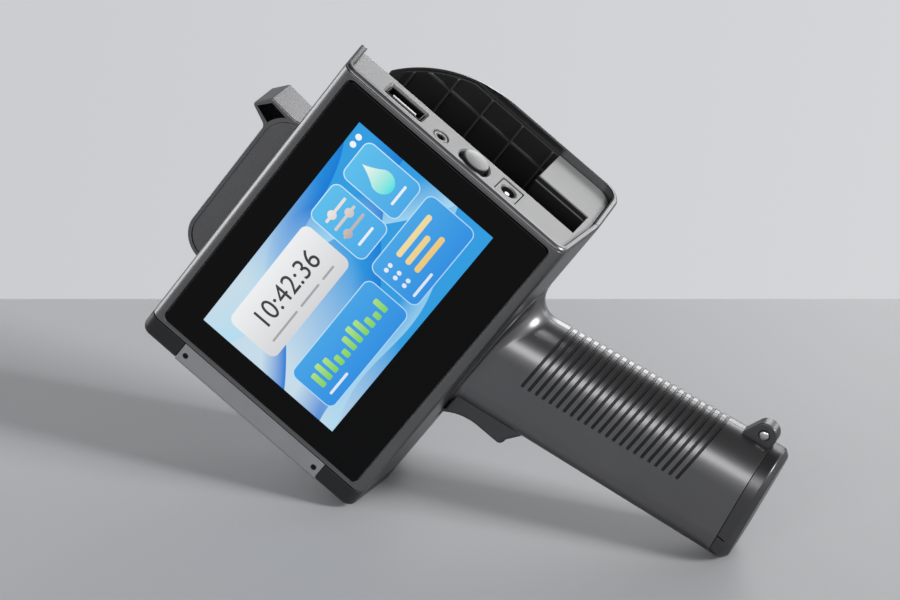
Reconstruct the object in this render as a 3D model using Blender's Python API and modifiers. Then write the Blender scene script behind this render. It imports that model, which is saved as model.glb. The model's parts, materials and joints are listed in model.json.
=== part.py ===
"""Handheld date-code inkjet printer: a pistol-grip hand printer with a touch screen.

The printer is modelled upright and then laid down, as it rests on the lower edge of its nose and on the end
of its grip. Upright, +X runs from the print nose to the rear face, +Y from the screen to the back, and +Z up
from the grip. The origin of that frame is the middle of the screen glass. All lengths are metres.
"""

import math

import bmesh
import bpy
from mathutils import Matrix, Vector

# Clearances
FIT = 0.0003
RELIEF = 0.0004
OVERRUN = 0.004

# Body
NOSE_REACH = 0.0760
REAR_REACH = 0.0685
NOSE_DEPTH = 0.0090
FRAME_SETBACK = 0.0015
FRONT_HALF_HEIGHT = 0.0532
WAIST_SWELL = 0.0026
BACK_TUCK = 0.0012
BODY_DEPTH = 0.0655
PARTING_Y = 0.0330
FRONT_EDGE_R = 0.0045
BACK_EDGE_R = 0.0090
WALL = 0.0025

# Cartridge bay
BAY_Y = 0.0210
PARTITION = 0.0020
DECK_DROP = 0.0057
CORNER_R = 0.0360
CORNER_SETBACK = 0.0020
LEDGE_Z = -0.0260
NOTCH_Y = 0.0385
NOTCH_LIFT = 0.0049
BAY_FLOOR_T = 0.0016
LINER_T = 0.0015
LINER_RIB_H = 0.0012
LINER_RIB_W = 0.0011
LINER_RIB_PITCH = 0.0150
LINER_DROP = 0.0080
LINER_SETBACK = 0.0105
LINER_RIB_INSET = 0.0105
LINER_RIB_DROP = 0.0179
LINER_COLUMNS = 6
LINER_ROWS = 4
LINER_EDGE = 0.0008
DOCK_T = 0.0035
DOCK_LIFT = 0.0020
DOCK_DROP = 0.0060
CONTACT_T = 0.0015
CONTACT_W = 0.0060
CONTACT_H = 0.0360

# Screen
FRAME_DEPTH = 0.0060
REAR_BAR = 0.0027
GLASS_RIM = 0.00215
GLASS_EDGE = 0.0050
GLASS_T = 0.0014
GLASS_CORNER_R = 0.0025
GLASS_LEDGE = 0.0030
LCD_SIDE = 0.0066
LCD_UPPER = 0.0080
LCD_T = 0.0033
LCD_LOWER = 0.0144

# Nose
NOSE_EDGE_R = 0.0030
PLATE_T = 0.0010
PLATE_INSET = 0.0180
PLATE_BEND_R = 0.0016
PLATE_SCREW_INSET = 0.0028
PLATE_SCREW_SETBACK = 0.0046
PLATE_SCREW_R = 0.0009
PLATE_SCREW_HEAD_R = 0.0012
PLATE_SCREW_HEAD_H = 0.0007
PLATE_SCREW_L = 0.0060
WINDOW_Y = 0.0420
WINDOW_W = 0.0140
WINDOW_H = 0.0180
NOZZLE_BAY_W = 0.0250
NOZZLE_BAY_H = 0.0390
ROLLER_R = 0.0035
ROLLER_L = 0.0064
ROLLER_PROUD = 0.0004
ROLLER_OUT = 0.0058
ROLLER_CLEARANCE = 0.0004
AXLE_R = 0.0010
AXLE_L = 0.0104
SENSOR_T = 0.0016
SENSOR_W = 0.0050
SENSOR_H = 0.0070
SENSOR_OFFSET = 0.0078

# Rear panel and its sockets
PANEL_T = 0.0023
PANEL_RECESS = 0.0020
POCKET_SPARE = 0.0001
FRONT_RIM = 0.0016
USB_Y = 0.0124
USB_Z = 0.0276
USB_W = 0.0070
USB_H = 0.0162
USB_WALL = 0.0009
TONGUE_W = 0.0019
TONGUE_H = 0.0112
JACK_Y = 0.0102
JACK_Z = 0.0097
JACK_R = 0.0031
JACK_BORE_R = 0.0018
JACK_FLANGE = 0.0010
BUTTON_Y = 0.0114
BUTTON_Z = -0.0059
BUTTON_R = 0.0064
BUTTON_PROUD = 0.0020
BUTTON_FLANGE = 0.0006
BUTTON_FLANGE_T = 0.0014
BUTTON_STEM_R = 0.0022
BUTTON_STEM_L = 0.0024
BUTTON_TRAVEL = 0.0010
SWITCH_SIZE = 0.0060
DC_Y = 0.0126
DC_Z = -0.0222
DC_W = 0.0104
DC_H = 0.0094
DC_BORE_R = 0.0032
DC_PIN_R = 0.0010
SOCKET_BORE = 0.0095
SOCKET_DEPTH = 0.0147

# Main board
BOARD_Y = 0.0162
BOARD_T = 0.0016
BOARD_GAP = 0.0085
BOARD_INSET = 0.0092
BOARD_SCREW_INSET = 0.0060
STANDOFF_R = 0.0030
BOARD_SCREW_R = 0.0012
BOARD_SCREW_HEAD_R = 0.0025
BOARD_SCREW_HEAD_H = 0.0018
PROCESSOR_SIZE = 0.0160
PROCESSOR_T = 0.0020

# Latch on the deck
LATCH_W = 0.0180
LATCH_GAP = 0.0005
LATCH_R = 0.0122
LATCH_SETBACK = 0.0290
LATCH_MOUTH_GAP = 0.0167
LATCH_RISE = 0.0055
LATCH_WALL = 0.0017
LATCH_RIM = 0.0016
LATCH_INSET = 0.0006
HOOK_TIP_OUT = 0.0055
HOOK_TIP_RISE = 0.0203
HOOK_BACK_OUT = 0.0124
HOOK_BACK_RISE = 0.0164
HOOK_FOOT_OUT = 0.0012
HOOK_SAG = 0.0014
HOOK_WALL = 0.0015
PIVOT_RISE = 0.0028
LATCH_PIN_R = 0.0013
EAR_T = 0.0040
EAR_R = 0.0050
SLOT_GAP = 0.0008
HUB_POCKET_R = 0.0050
HUB_POCKET_DEPTH = 0.0062
LATCH_SPRING_R = 0.0036
LATCH_SPRING_TURNS = 4
LATCH_SPRING_PITCH = 0.0013
SPRING_WIRE_R = 0.0004

# Grip
GRIP_T = 0.0330
GRIP_REF_DROP = 0.0153
GRIP_FRONT_X = -0.0177
GRIP_REAR_X = 0.0281
GRIP_LEAN = 0.2064
GRIP_FLARE = 0.92
GRIP_CORNER_R = 0.0120
GRIP_WALL = 0.0024
GRIP_LENGTH = 0.1116
GRIP_END_SLOPE = 0.185
END_CAP_H = 0.0070
END_CHAMFER = 0.0022
END_PLUG_H = 0.0040
NECK_SIDE_R = 0.0028
NECK_REAR_R = 0.0110
NECK_LAND = 0.0004
GROOVE_COUNT = 23
GROOVE_PITCH = 0.0030
GROOVE_W = 0.0012
GROOVE_DEPTH = 0.0006
GROOVE_START = 0.0233
LUG_T = 0.0064
LUG_R = 0.0049
LUG_OUT = 0.0035
LUG_LIFT = 0.0162
LUG_TAIL = 0.0068
LUG_HOLE_R = 0.0017
BATTERY_W = 0.0375
BATTERY_T = 0.0190
BATTERY_L = 0.0620

# Trigger
TRIGGER_W = 0.0160
TRIGGER_DROP = 0.0014
TRIGGER_TOP_X = -0.0316
TRIGGER_LIP = 0.0010
TRIGGER_LIP_L = 0.0070
TRIGGER_WAIST_X = -0.0254
TRIGGER_WAIST_DROP = 0.0128
TRIGGER_TIP_X = -0.0253
TRIGGER_TIP_DROP = 0.0224
TRIGGER_TOE_R = 0.0024
TRIGGER_H = 0.0273
TRIGGER_BACK_X = -0.0095
TRIGGER_PIVOT_X = -0.0120
TRIGGER_PIVOT_DROP = 0.0044
TRIGGER_HUB_R = 0.0042
TRIGGER_GAP = 0.0004
TRIGGER_PIN_R = 0.0015
TRIGGER_BOSS_R = 0.0032
TRIGGER_SWITCH_X = -0.0030
TRIGGER_SWITCH_T = 0.0064
TRIGGER_SWITCH_W = 0.0100
TRIGGER_SWITCH_LOW = 0.0288
TRIGGER_SWITCH_HIGH = 0.0128
TRIGGER_SPRING_DROP = 0.0208
TRIGGER_SPRING_R = 0.0028
TRIGGER_SPRING_TURNS = 4
SWITCH_POST_R = 0.0025

# Case screws
CASE_SCREW_R = 0.0015
CASE_SCREW_HEAD_R = 0.0028
CASE_SCREW_HEAD_H = 0.0020
CASE_SCREW_L = 0.0240
GRIP_SCREW_L = 0.0180
SCREW_HOLE_SPARE = 0.0020
BOSS_R = 0.0045
BODY_SEAT_DEPTH = 0.0155
GRIP_SEAT_DEPTH = 0.0090
BODY_BOSS_SETBACK = 0.0050
UPPER_BOSS_DROP = 0.0087
LOWER_BOSS_LIFT = 0.0091
NECK_BOSS_X = 0.0060
NECK_BOSS_DROP = 0.0058
GRIP_BOSS_X = 0.0090
GRIP_BOSS_DROP = 0.0308

# Smoothness of round forms
ARC_STEPS = 5
GRIP_STEPS = 6
ROUND_STEPS = 16
SCREW_STEPS = 12
SPRING_STEPS = 9

# Finishes: colour, roughness, metallic
FINISHES = {
    "housing_plastic": ((0.105, 0.107, 0.110), 0.42, 0.0),
    "panel_plastic": ((0.330, 0.333, 0.338), 0.45, 0.0),
    "dark_plastic": ((0.045, 0.046, 0.048), 0.50, 0.0),
    "black_plastic": ((0.012, 0.012, 0.013), 0.45, 0.0),
    "white_plastic": ((0.750, 0.750, 0.730), 0.40, 0.0),
    "screen_glass": ((0.008, 0.008, 0.009), 0.08, 0.0),
    "lcd": ((0.150, 0.420, 0.800), 0.30, 0.0),
    "nose_steel": ((0.300, 0.303, 0.308), 0.38, 1.0),
    "bright_steel": ((0.550, 0.555, 0.560), 0.25, 1.0),
    "black_steel": ((0.030, 0.030, 0.032), 0.40, 1.0),
    "rubber": ((0.020, 0.020, 0.021), 0.80, 0.0),
    "circuit_board": ((0.015, 0.090, 0.045), 0.50, 0.0),
    "battery_wrap": ((0.020, 0.060, 0.220), 0.40, 0.0),
}

# Places that follow from the sizes above
WAIST_HALF_HEIGHT = FRONT_HALF_HEIGHT + WAIST_SWELL
BACK_HALF_HEIGHT = WAIST_HALF_HEIGHT - BACK_TUCK
FRAME_X0 = NOSE_DEPTH - NOSE_REACH
FRAME_X1 = REAR_REACH - FRAME_SETBACK
REAR_WALL_Y = BODY_DEPTH - WALL
PANEL_X = REAR_REACH - PANEL_RECESS
PANEL_BACK_X = PANEL_X - PANEL_T
SOCKET_BACK = PANEL_X - SOCKET_DEPTH
NOSE_CAP_X = FRAME_X0 - FIT
END_WALL_X = FRAME_X0 + WALL
CORNER_X = REAR_REACH - CORNER_SETBACK
MOUTH_X = CORNER_X - CORNER_R
GLASS_X0 = FRAME_X0 + GLASS_RIM
GLASS_X1 = FRAME_X1 - GLASS_RIM
GLASS_HALF_H = FRONT_HALF_HEIGHT - GLASS_EDGE
BOARD_X0 = END_WALL_X + BOARD_GAP
BOARD_HALF_H = FRONT_HALF_HEIGHT - BOARD_INSET
PLATE_HALF = FRONT_HALF_HEIGHT - PLATE_INSET
PLATE_SCREW_Z = PLATE_HALF - PLATE_SCREW_INSET
ROLLER_X = -NOSE_REACH - ROLLER_PROUD + ROLLER_R
ROLLER_Z = PLATE_HALF + ROLLER_OUT
DECK_Z = FRONT_HALF_HEIGHT - DECK_DROP
LINER_TOP = DECK_Z - LINER_DROP
LINER_FRONT_X = END_WALL_X + LINER_SETBACK
LINER_RIB_X = REAR_REACH - LINER_RIB_INSET
LINER_RIB_Z = LINER_TOP - LINER_RIB_DROP
DOCK_Z0 = LEDGE_Z + DOCK_LIFT
DOCK_Z1 = LINER_TOP - DOCK_DROP
LATCH_Y = BAY_Y + LATCH_GAP
LATCH_FRONT_X = END_WALL_X + LATCH_SETBACK
LATCH_REAR_X = MOUTH_X - LATCH_MOUTH_GAP
LATCH_MID_Z = DECK_Z + LATCH_RISE
HOOK_TIP_X = LATCH_REAR_X + HOOK_TIP_OUT
HOOK_TIP_Z = LATCH_MID_Z + HOOK_TIP_RISE
HOOK_BACK_X = LATCH_REAR_X + HOOK_BACK_OUT
HOOK_BACK_Z = LATCH_MID_Z + HOOK_BACK_RISE
HOOK_FOOT_X = LATCH_REAR_X + HOOK_FOOT_OUT
PIVOT_Z = DECK_Z + PIVOT_RISE
TRIGGER_TOP_Z = -WAIST_HALF_HEIGHT - TRIGGER_DROP
TRIGGER_WAIST_Z = TRIGGER_TOP_Z - TRIGGER_WAIST_DROP
TRIGGER_TIP_Z = TRIGGER_TOP_Z - TRIGGER_TIP_DROP
TRIGGER_BOTTOM_Z = TRIGGER_TOP_Z - TRIGGER_H
TRIGGER_PIVOT_Z = TRIGGER_TOP_Z - TRIGGER_PIVOT_DROP
TRIGGER_SWITCH_Z0 = TRIGGER_TOP_Z - TRIGGER_SWITCH_LOW
TRIGGER_SWITCH_Z1 = TRIGGER_TOP_Z - TRIGGER_SWITCH_HIGH
TRIGGER_SPRING_Z = TRIGGER_TOP_Z - TRIGGER_SPRING_DROP
GRIP_MID_X = (GRIP_FRONT_X + GRIP_REAR_X) / 2
GRIP_REF_Z = TRIGGER_TOP_Z - GRIP_REF_DROP
GRIP_END_Z = TRIGGER_TOP_Z - GRIP_LENGTH
LUG_Z = GRIP_END_Z + LUG_LIFT
SCREW_HOLE_R = CASE_SCREW_R + FIT
BODY_SEAT_Y = BODY_DEPTH - BODY_SEAT_DEPTH
GRIP_SEAT_Y = PARTING_Y + GRIP_SEAT_DEPTH
BODY_BOSS_X = END_WALL_X + BODY_BOSS_SETBACK
UPPER_BOSS_Z = DECK_Z - UPPER_BOSS_DROP
LOWER_BOSS_Z = -BACK_HALF_HEIGHT + LOWER_BOSS_LIFT
NECK_BOSS_Z = TRIGGER_TOP_Z - NECK_BOSS_DROP
GRIP_BOSS_Z = TRIGGER_TOP_Z - GRIP_BOSS_DROP


# Collections, materials and the shapes that everything is made of

def clear_scene():
    """Remove every object that is in the scene."""
    for obj in list(bpy.data.objects):
        bpy.data.objects.remove(obj, do_unlink=True)


def new_collection(name):
    """Make a collection in the scene."""
    collection = bpy.data.collections.new(name)
    bpy.context.scene.collection.children.link(collection)
    return collection


def make_materials():
    """One Principled material for each finish."""
    materials = {}
    for name, (colour, roughness, metallic) in FINISHES.items():
        material = bpy.data.materials.new(name)
        material.use_nodes = True
        shader = material.node_tree.nodes["Principled BSDF"]
        shader.inputs["Base Color"].default_value = (*colour, 1.0)
        shader.inputs["Roughness"].default_value = roughness
        shader.inputs["Metallic"].default_value = metallic
        materials[name] = material
    return materials


clear_scene()
PARTS = new_collection("date_code_printer")
CUTTERS = new_collection("date_code_printer_cutters")
MATERIALS = make_materials()
ROOT = bpy.data.objects.new("printer_root", None)
PARTS.objects.link(ROOT)


def add_object(name, data):
    """Link a new object under the root, as a cutter until it is given a finish."""
    obj = bpy.data.objects.new(name, data)
    CUTTERS.objects.link(obj)
    obj.parent = ROOT
    obj.hide_render = True
    obj.display_type = "WIRE"
    return obj


def finish(obj, material, smooth_angle=35.0):
    """Turn an object into a piece of the printer."""
    CUTTERS.objects.unlink(obj)
    PARTS.objects.link(obj)
    obj.hide_render = False
    obj.display_type = "TEXTURED"
    obj.data.materials.clear()
    obj.data.materials.append(MATERIALS[material])
    if obj.type == "MESH":
        obj.data.shade_smooth()
        obj.data.set_sharp_from_angle(angle=math.radians(smooth_angle))
    return obj


def arc(cx, cy, radius, start, end, steps=ARC_STEPS):
    """Points on a circular arc, angles in degrees, with both ends."""
    points = []
    for i in range(steps + 1):
        angle = math.radians(start + (end - start) * i / steps)
        points.append((cx + radius * math.cos(angle), cy + radius * math.sin(angle)))
    return points


def circle(cx, cy, radius, steps=ROUND_STEPS):
    """Points round a full circle."""
    return arc(cx, cy, radius, 0, 360, steps)[:-1]


def rectangle(x0, x1, y0, y1, radius=0.0):
    """The outline of a rectangle, with round corners if it has a radius."""
    if radius <= 0:
        return [(x0, y0), (x1, y0), (x1, y1), (x0, y1)]
    points = arc(x1 - radius, y0 + radius, radius, -90, 0, 3)
    points += arc(x1 - radius, y1 - radius, radius, 0, 90, 3)
    points += arc(x0 + radius, y1 - radius, radius, 90, 180, 3)
    points += arc(x0 + radius, y0 + radius, radius, 180, 270, 3)
    return points


AXES = {
    "X": Matrix(((0, 0, 1), (1, 0, 0), (0, 1, 0))).to_4x4(),
    "Y": Matrix(((1, 0, 0), (0, 0, 1), (0, 1, 0))).to_4x4(),
    "Z": Matrix.Identity(4),
}


def close_mesh(mesh):
    """Weld a mesh's doubles and point its faces outwards."""
    bm = bmesh.new()
    bm.from_mesh(mesh)
    bmesh.ops.remove_doubles(bm, verts=bm.verts, dist=1e-6)
    bmesh.ops.recalc_face_normals(bm, faces=bm.faces)
    bm.to_mesh(mesh)
    bm.free()


def curve_to_mesh(obj):
    """Replace a curve object by its evaluated mesh, welded."""
    depsgraph = bpy.context.evaluated_depsgraph_get()
    mesh = bpy.data.meshes.new_from_object(obj.evaluated_get(depsgraph))
    curve = obj.data
    name = obj.name
    bpy.data.objects.remove(obj, do_unlink=True)
    bpy.data.curves.remove(curve)
    close_mesh(mesh)
    return add_object(name, mesh)


def plate(name, loops, axis, start, end):
    """A filled flat outline, and any holes in it, extruded along an axis from start to end.

    The outline is in (y, z) for X, in (x, z) for Y and in (x, y) for Z.
    """
    curve = bpy.data.curves.new(name, "CURVE")
    curve.dimensions = "2D"
    curve.fill_mode = "BOTH"
    curve.extrude = (end - start) / 2
    for loop in loops:
        spline = curve.splines.new("POLY")
        spline.points.add(len(loop) - 1)
        for point, (u, v) in zip(spline.points, loop):
            point.co = (u, v, 0, 1)
        spline.use_cyclic_u = True
    obj = curve_to_mesh(add_object(name, curve))
    obj.data.transform(AXES[axis] @ Matrix.Translation((0, 0, (start + end) / 2)))
    close_mesh(obj.data)
    return obj


def box(name, x0, x1, y0, y1, z0, z1):
    """A box between two corners."""
    mesh = bpy.data.meshes.new(name)
    bm = bmesh.new()
    bmesh.ops.create_cube(bm, size=1.0)
    bmesh.ops.scale(bm, vec=(x1 - x0, y1 - y0, z1 - z0), verts=bm.verts)
    bmesh.ops.translate(bm, vec=((x0 + x1) / 2, (y0 + y1) / 2, (z0 + z1) / 2), verts=bm.verts)
    bm.to_mesh(mesh)
    bm.free()
    return add_object(name, mesh)


def rod(name, axis, u, v, radius, start, end, steps=ROUND_STEPS):
    """A round bar along an axis, centred on (u, v) as a plate's outline is."""
    mesh = bpy.data.meshes.new(name)
    bm = bmesh.new()
    bmesh.ops.create_cone(bm, cap_ends=True, segments=steps, radius1=radius, radius2=radius,
                          depth=end - start)
    bmesh.ops.transform(bm, matrix=Matrix.Translation((u, v, (start + end) / 2)), verts=bm.verts)
    bmesh.ops.transform(bm, matrix=AXES[axis], verts=bm.verts)
    bmesh.ops.recalc_face_normals(bm, faces=bm.faces)
    bm.to_mesh(mesh)
    bm.free()
    return add_object(name, mesh)


TURNING = {
    "+X": Matrix.Rotation(math.radians(90), 4, "Y"),
    "+Y": Matrix.Rotation(math.radians(-90), 4, "X"),
    "-Y": Matrix.Rotation(math.radians(90), 4, "X"),
}


def turned(name, profile, direction, place, steps=ROUND_STEPS):
    """A turned piece: (radius, height) points down its outer side, spun about the given axis."""
    mesh = bpy.data.meshes.new(name)
    edges = [(i, i + 1) for i in range(len(profile) - 1)]
    mesh.from_pydata([(radius, 0, height) for radius, height in profile], edges, [])
    obj = add_object(name, mesh)
    obj.matrix_local = Matrix.Translation(place) @ TURNING[direction]
    spin = obj.modifiers.new("turn", "SCREW")
    spin.axis = "Z"
    spin.steps = steps
    spin.render_steps = steps
    spin.use_merge_vertices = True
    spin.merge_threshold = 0.00001
    return obj


def loft(name, rings):
    """A closed skin through rings of points, capped at both ends."""
    mesh = bpy.data.meshes.new(name)
    bm = bmesh.new()
    levels = [[bm.verts.new(point) for point in ring] for ring in rings]
    count = len(levels[0])
    for lower, upper in zip(levels, levels[1:]):
        for i in range(count):
            j = (i + 1) % count
            bm.faces.new((lower[i], lower[j], upper[j], upper[i]))
    bm.faces.new(levels[0])
    bm.faces.new(levels[-1])
    bmesh.ops.triangulate(bm, faces=[face for face in bm.faces if len(face.verts) == 4])
    bmesh.ops.recalc_face_normals(bm, faces=bm.faces)
    bm.to_mesh(mesh)
    bm.free()
    return add_object(name, mesh)


def merge(name, objects):
    """Join the meshes of separate shapes into one object, as one cutter or one set of bosses."""
    bm = bmesh.new()
    for obj in objects:
        bm.from_mesh(obj.data)
        bpy.data.objects.remove(obj, do_unlink=True)
    mesh = bpy.data.meshes.new(name)
    bm.to_mesh(mesh)
    bm.free()
    return add_object(name, mesh)


def boolean(obj, operand, operation):
    """Add an exact Boolean with another object."""
    modifier = obj.modifiers.new(operation.lower(), "BOOLEAN")
    modifier.operation = operation
    modifier.solver = "EXACT"
    modifier.object = operand
    return obj


def cut(obj, *cutters):
    """Cut shapes out of an object."""
    for cutter in cutters:
        boolean(obj, cutter, "DIFFERENCE")
    return obj


def fuse(obj, *others):
    """Fuse shapes onto an object."""
    for other in others:
        boolean(obj, other, "UNION")
    return obj


def set_origin(obj, x, y, z):
    """Move an object's origin to a point, with its shape left in place."""
    obj.data.transform(Matrix.Translation((-x, -y, -z)))
    obj.location = (x, y, z)
    return obj


def spring(name, direction, place, radius, pitch, turns, finish_name):
    """A helical spring of round wire, wound along an axis from a place, as one unbroken tube."""
    curve = bpy.data.curves.new(name, "CURVE")
    curve.dimensions = "3D"
    curve.bevel_depth = SPRING_WIRE_R
    curve.bevel_resolution = 1
    curve.use_fill_caps = True
    points = []
    for i in range(turns * SPRING_STEPS + 1):
        angle = 2 * math.pi * i / SPRING_STEPS
        points.append(Vector((radius * math.cos(angle), radius * math.sin(angle), pitch * i / SPRING_STEPS)))
    spline = curve.splines.new("POLY")
    spline.points.add(len(points) - 1)
    for point, place_on in zip(spline.points, points):
        point.co = (*place_on, 1)
    apart = SPRING_STEPS // 2
    spans = [(a - b).length for i, a in enumerate(points) for b in points[i + apart:]]
    print(f"{name}: {turns} turns, {(min(spans) - 2 * SPRING_WIRE_R) * 1000:.2f} mm least gap to itself")
    obj = curve_to_mesh(add_object(name, curve))
    obj.data.transform(Matrix.Translation(place) @ TURNING[direction])
    return finish(obj, finish_name, 60.0)


# Outlines that several pieces share

def side_at(y):
    """Half the body's height at a depth, on the long sides of the front half."""
    rise = (y - FRONT_EDGE_R) / (PARTING_Y - FRONT_EDGE_R)
    return FRONT_HALF_HEIGHT + (WAIST_HALF_HEIGHT - FRONT_HALF_HEIGHT) * rise


def back_arcs(inset):
    """The bay's two back corners in (y, z), from the deck round to the bottom, drawn in by an inset."""
    y = BODY_DEPTH - BACK_EDGE_R
    radius = BACK_EDGE_R - inset
    upper = arc(y, DECK_Z - BACK_EDGE_R, radius, 90, 0)
    lower = arc(y, -BACK_HALF_HEIGHT + BACK_EDGE_R, radius, 0, -90)
    return upper, lower


def body_outline():
    """The body's outline in (y, z): the screen box, the lower deck behind it and the swelling bottom."""
    upper, lower = back_arcs(0)
    middle = FRONT_HALF_HEIGHT - FRONT_EDGE_R
    points = arc(FRONT_EDGE_R, middle, FRONT_EDGE_R, 180, 90)
    points += [(BAY_Y, side_at(BAY_Y)), (BAY_Y, DECK_Z)]
    points += upper + lower
    points += [(PARTING_Y, -WAIST_HALF_HEIGHT)]
    points += arc(FRONT_EDGE_R, -middle, FRONT_EDGE_R, -90, -180)
    return points


def bay_outline(wall):
    """The inside of the cartridge bay in (y, z), within a wall of some thickness."""
    upper, lower = back_arcs(wall)
    bottom = [(PARTING_Y, -WAIST_HALF_HEIGHT + wall), (BAY_Y, -side_at(BAY_Y) + wall)]
    return [(BAY_Y, DECK_Z - wall)] + upper + lower + bottom


def back_edge(inset):
    """The rear edge of the bay's back wall in (x, z), from the ledge round the large corner to the deck."""
    start = (REAR_REACH - inset, LEDGE_Z)
    return [start] + arc(MOUTH_X, DECK_Z - CORNER_R, CORNER_R - inset, 0, 90, 2 * ARC_STEPS)


def grip_outline(inset=0.0):
    """The grip's section at its reference height: (x, y, normal x, normal y) round a D shape."""
    half = GRIP_T / 2
    corner = GRIP_CORNER_R
    front = GRIP_FRONT_X + corner
    rear = GRIP_REAR_X - half
    runs = [
        (rear, PARTING_Y, half, -90, 90, 2 * GRIP_STEPS),
        (front, PARTING_Y + half - corner, corner, 90, 180, GRIP_STEPS - 2),
        (front, PARTING_Y - half + corner, corner, 180, 270, GRIP_STEPS - 2),
    ]
    points = []
    for cx, cy, radius, start, end, steps in runs:
        for i in range(steps + 1):
            angle = math.radians(start + (end - start) * i / steps)
            normal = (math.cos(angle), math.sin(angle))
            reach = radius - inset
            points.append((cx + reach * normal[0], cy + reach * normal[1], *normal))
    return points


def grip_lean(x):
    """How far the grip's line through x leans for each metre down: the grip widens to its end."""
    return GRIP_LEAN + GRIP_FLARE * (x - GRIP_MID_X)


def grip_x(x, z):
    """Where the grip's leaning line through x at the reference height stands at height z."""
    return x + grip_lean(x) * (GRIP_REF_Z - z)


def level_ring(inset, z):
    """A level section of the grip."""
    return [(grip_x(x, z), y, z) for x, y, _, _ in grip_outline(inset)]


def slanted_ring(inset, middle_z, outline=None):
    """A section of the grip in the slope of its end, at a height in the middle of the grip."""
    middle_x = grip_x(GRIP_MID_X, middle_z)
    ring = []
    for x, y, *_ in outline or grip_outline(inset):
        z = middle_z + GRIP_END_SLOPE * (grip_x(x, 0) - middle_x)
        z /= 1 + GRIP_END_SLOPE * grip_lean(x)
        ring.append((grip_x(x, z), y, z))
    return ring


def floor_at(y):
    """The height of the body's underside at a depth."""
    if y <= PARTING_Y:
        return -side_at(y)
    share = (y - PARTING_Y) / (BODY_DEPTH - BACK_EDGE_R - PARTING_Y)
    return -WAIST_HALF_HEIGHT + (WAIST_HALF_HEIGHT - BACK_HALF_HEIGHT) * share


def neck_ring(angle, lift=0.0):
    """A ring of the fillet between grip and body: 0 degrees where it leaves the grip, 90 at the body."""
    turn = math.radians(angle)
    ring = []
    for x, y, nx, ny in grip_outline():
        radius = NECK_SIDE_R + (NECK_REAR_R - NECK_SIDE_R) * max(nx, 0.0) ** 2
        out = radius * (1 - math.cos(turn))
        depth = y + out * ny
        z = floor_at(depth) - NECK_LAND - radius * (1 - math.sin(turn)) + lift
        ring.append((grip_x(x + out * nx, z - lift), depth, z))
    return ring


def bezier(start, control, end, steps=ARC_STEPS):
    """Points on a quadratic curve, without its first point."""
    points = []
    for i in range(1, steps + 1):
        t = i / steps
        a = (1 - t) ** 2
        b = 2 * t * (1 - t)
        points.append(tuple(a * s + b * c + t * t * e for s, c, e in zip(start, control, end)))
    return points


SEAM_Z = GRIP_END_Z + END_CAP_H
NOTCH_Z = -side_at(BAY_Y) + NOTCH_LIFT
BOARD_HOLES_X = (BOARD_X0 + BOARD_SCREW_INSET, SOCKET_BACK - FIT - BOARD_SCREW_INSET)
BOARD_HOLES_Z = (-BOARD_HALF_H + BOARD_SCREW_INSET, BOARD_HALF_H - BOARD_SCREW_INSET)
CASE_SCREWS = (
    ("case_screw_1", BODY_BOSS_X, UPPER_BOSS_Z, BODY_SEAT_Y, CASE_SCREW_L),
    ("case_screw_2", BODY_BOSS_X, LOWER_BOSS_Z, BODY_SEAT_Y, CASE_SCREW_L),
    ("grip_screw_1", NECK_BOSS_X, NECK_BOSS_Z, GRIP_SEAT_Y, GRIP_SCREW_L),
    ("grip_screw_2", GRIP_BOSS_X, GRIP_BOSS_Z, GRIP_SEAT_Y, GRIP_SCREW_L),
)


# Housing halves

def lug_outline():
    """The strap lug in (x, z), rooted in the grip's rear."""
    hole_x = grip_x(GRIP_REAR_X, LUG_Z) + LUG_OUT
    tail_z = LUG_Z + LUG_TAIL
    foot_z = LUG_Z - LUG_R
    root = GRIP_WALL * 0.7
    points = [(grip_x(GRIP_REAR_X, foot_z) - root, foot_z), (grip_x(GRIP_REAR_X, tail_z) - root, tail_z)]
    points += [(grip_x(GRIP_REAR_X, tail_z) + FIT, tail_z)]
    return points + arc(hole_x, LUG_Z, LUG_R, 65, -90, 2 * ARC_STEPS), hole_x


def groove_cutter():
    """All finger grooves round the rear of the grip, as one cutter."""
    half = GRIP_T / 2
    rear = GRIP_REAR_X - half
    start = GRIP_FRONT_X + GROOVE_START
    outer = half + OVERRUN
    inner = half - GROOVE_DEPTH
    grooves = []
    for i in range(GROOVE_COUNT):
        z = GRIP_REF_Z - i * GROOVE_PITCH
        outline = [(start, PARTING_Y - outer)]
        outline += arc(rear, PARTING_Y, outer, -90, 90, 2 * GRIP_STEPS)
        outline += [(start, PARTING_Y + outer), (start, PARTING_Y + inner)]
        outline += arc(rear, PARTING_Y, inner, 90, -90, 2 * GRIP_STEPS)
        outline += [(start, PARTING_Y - inner)]
        outline = [(grip_x(x, z), y) for x, y in outline]
        grooves.append(plate(f"groove_{i}", [outline], "Z", z - GROOVE_W / 2, z + GROOVE_W / 2))
    return merge("groove_cutter", grooves)


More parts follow.
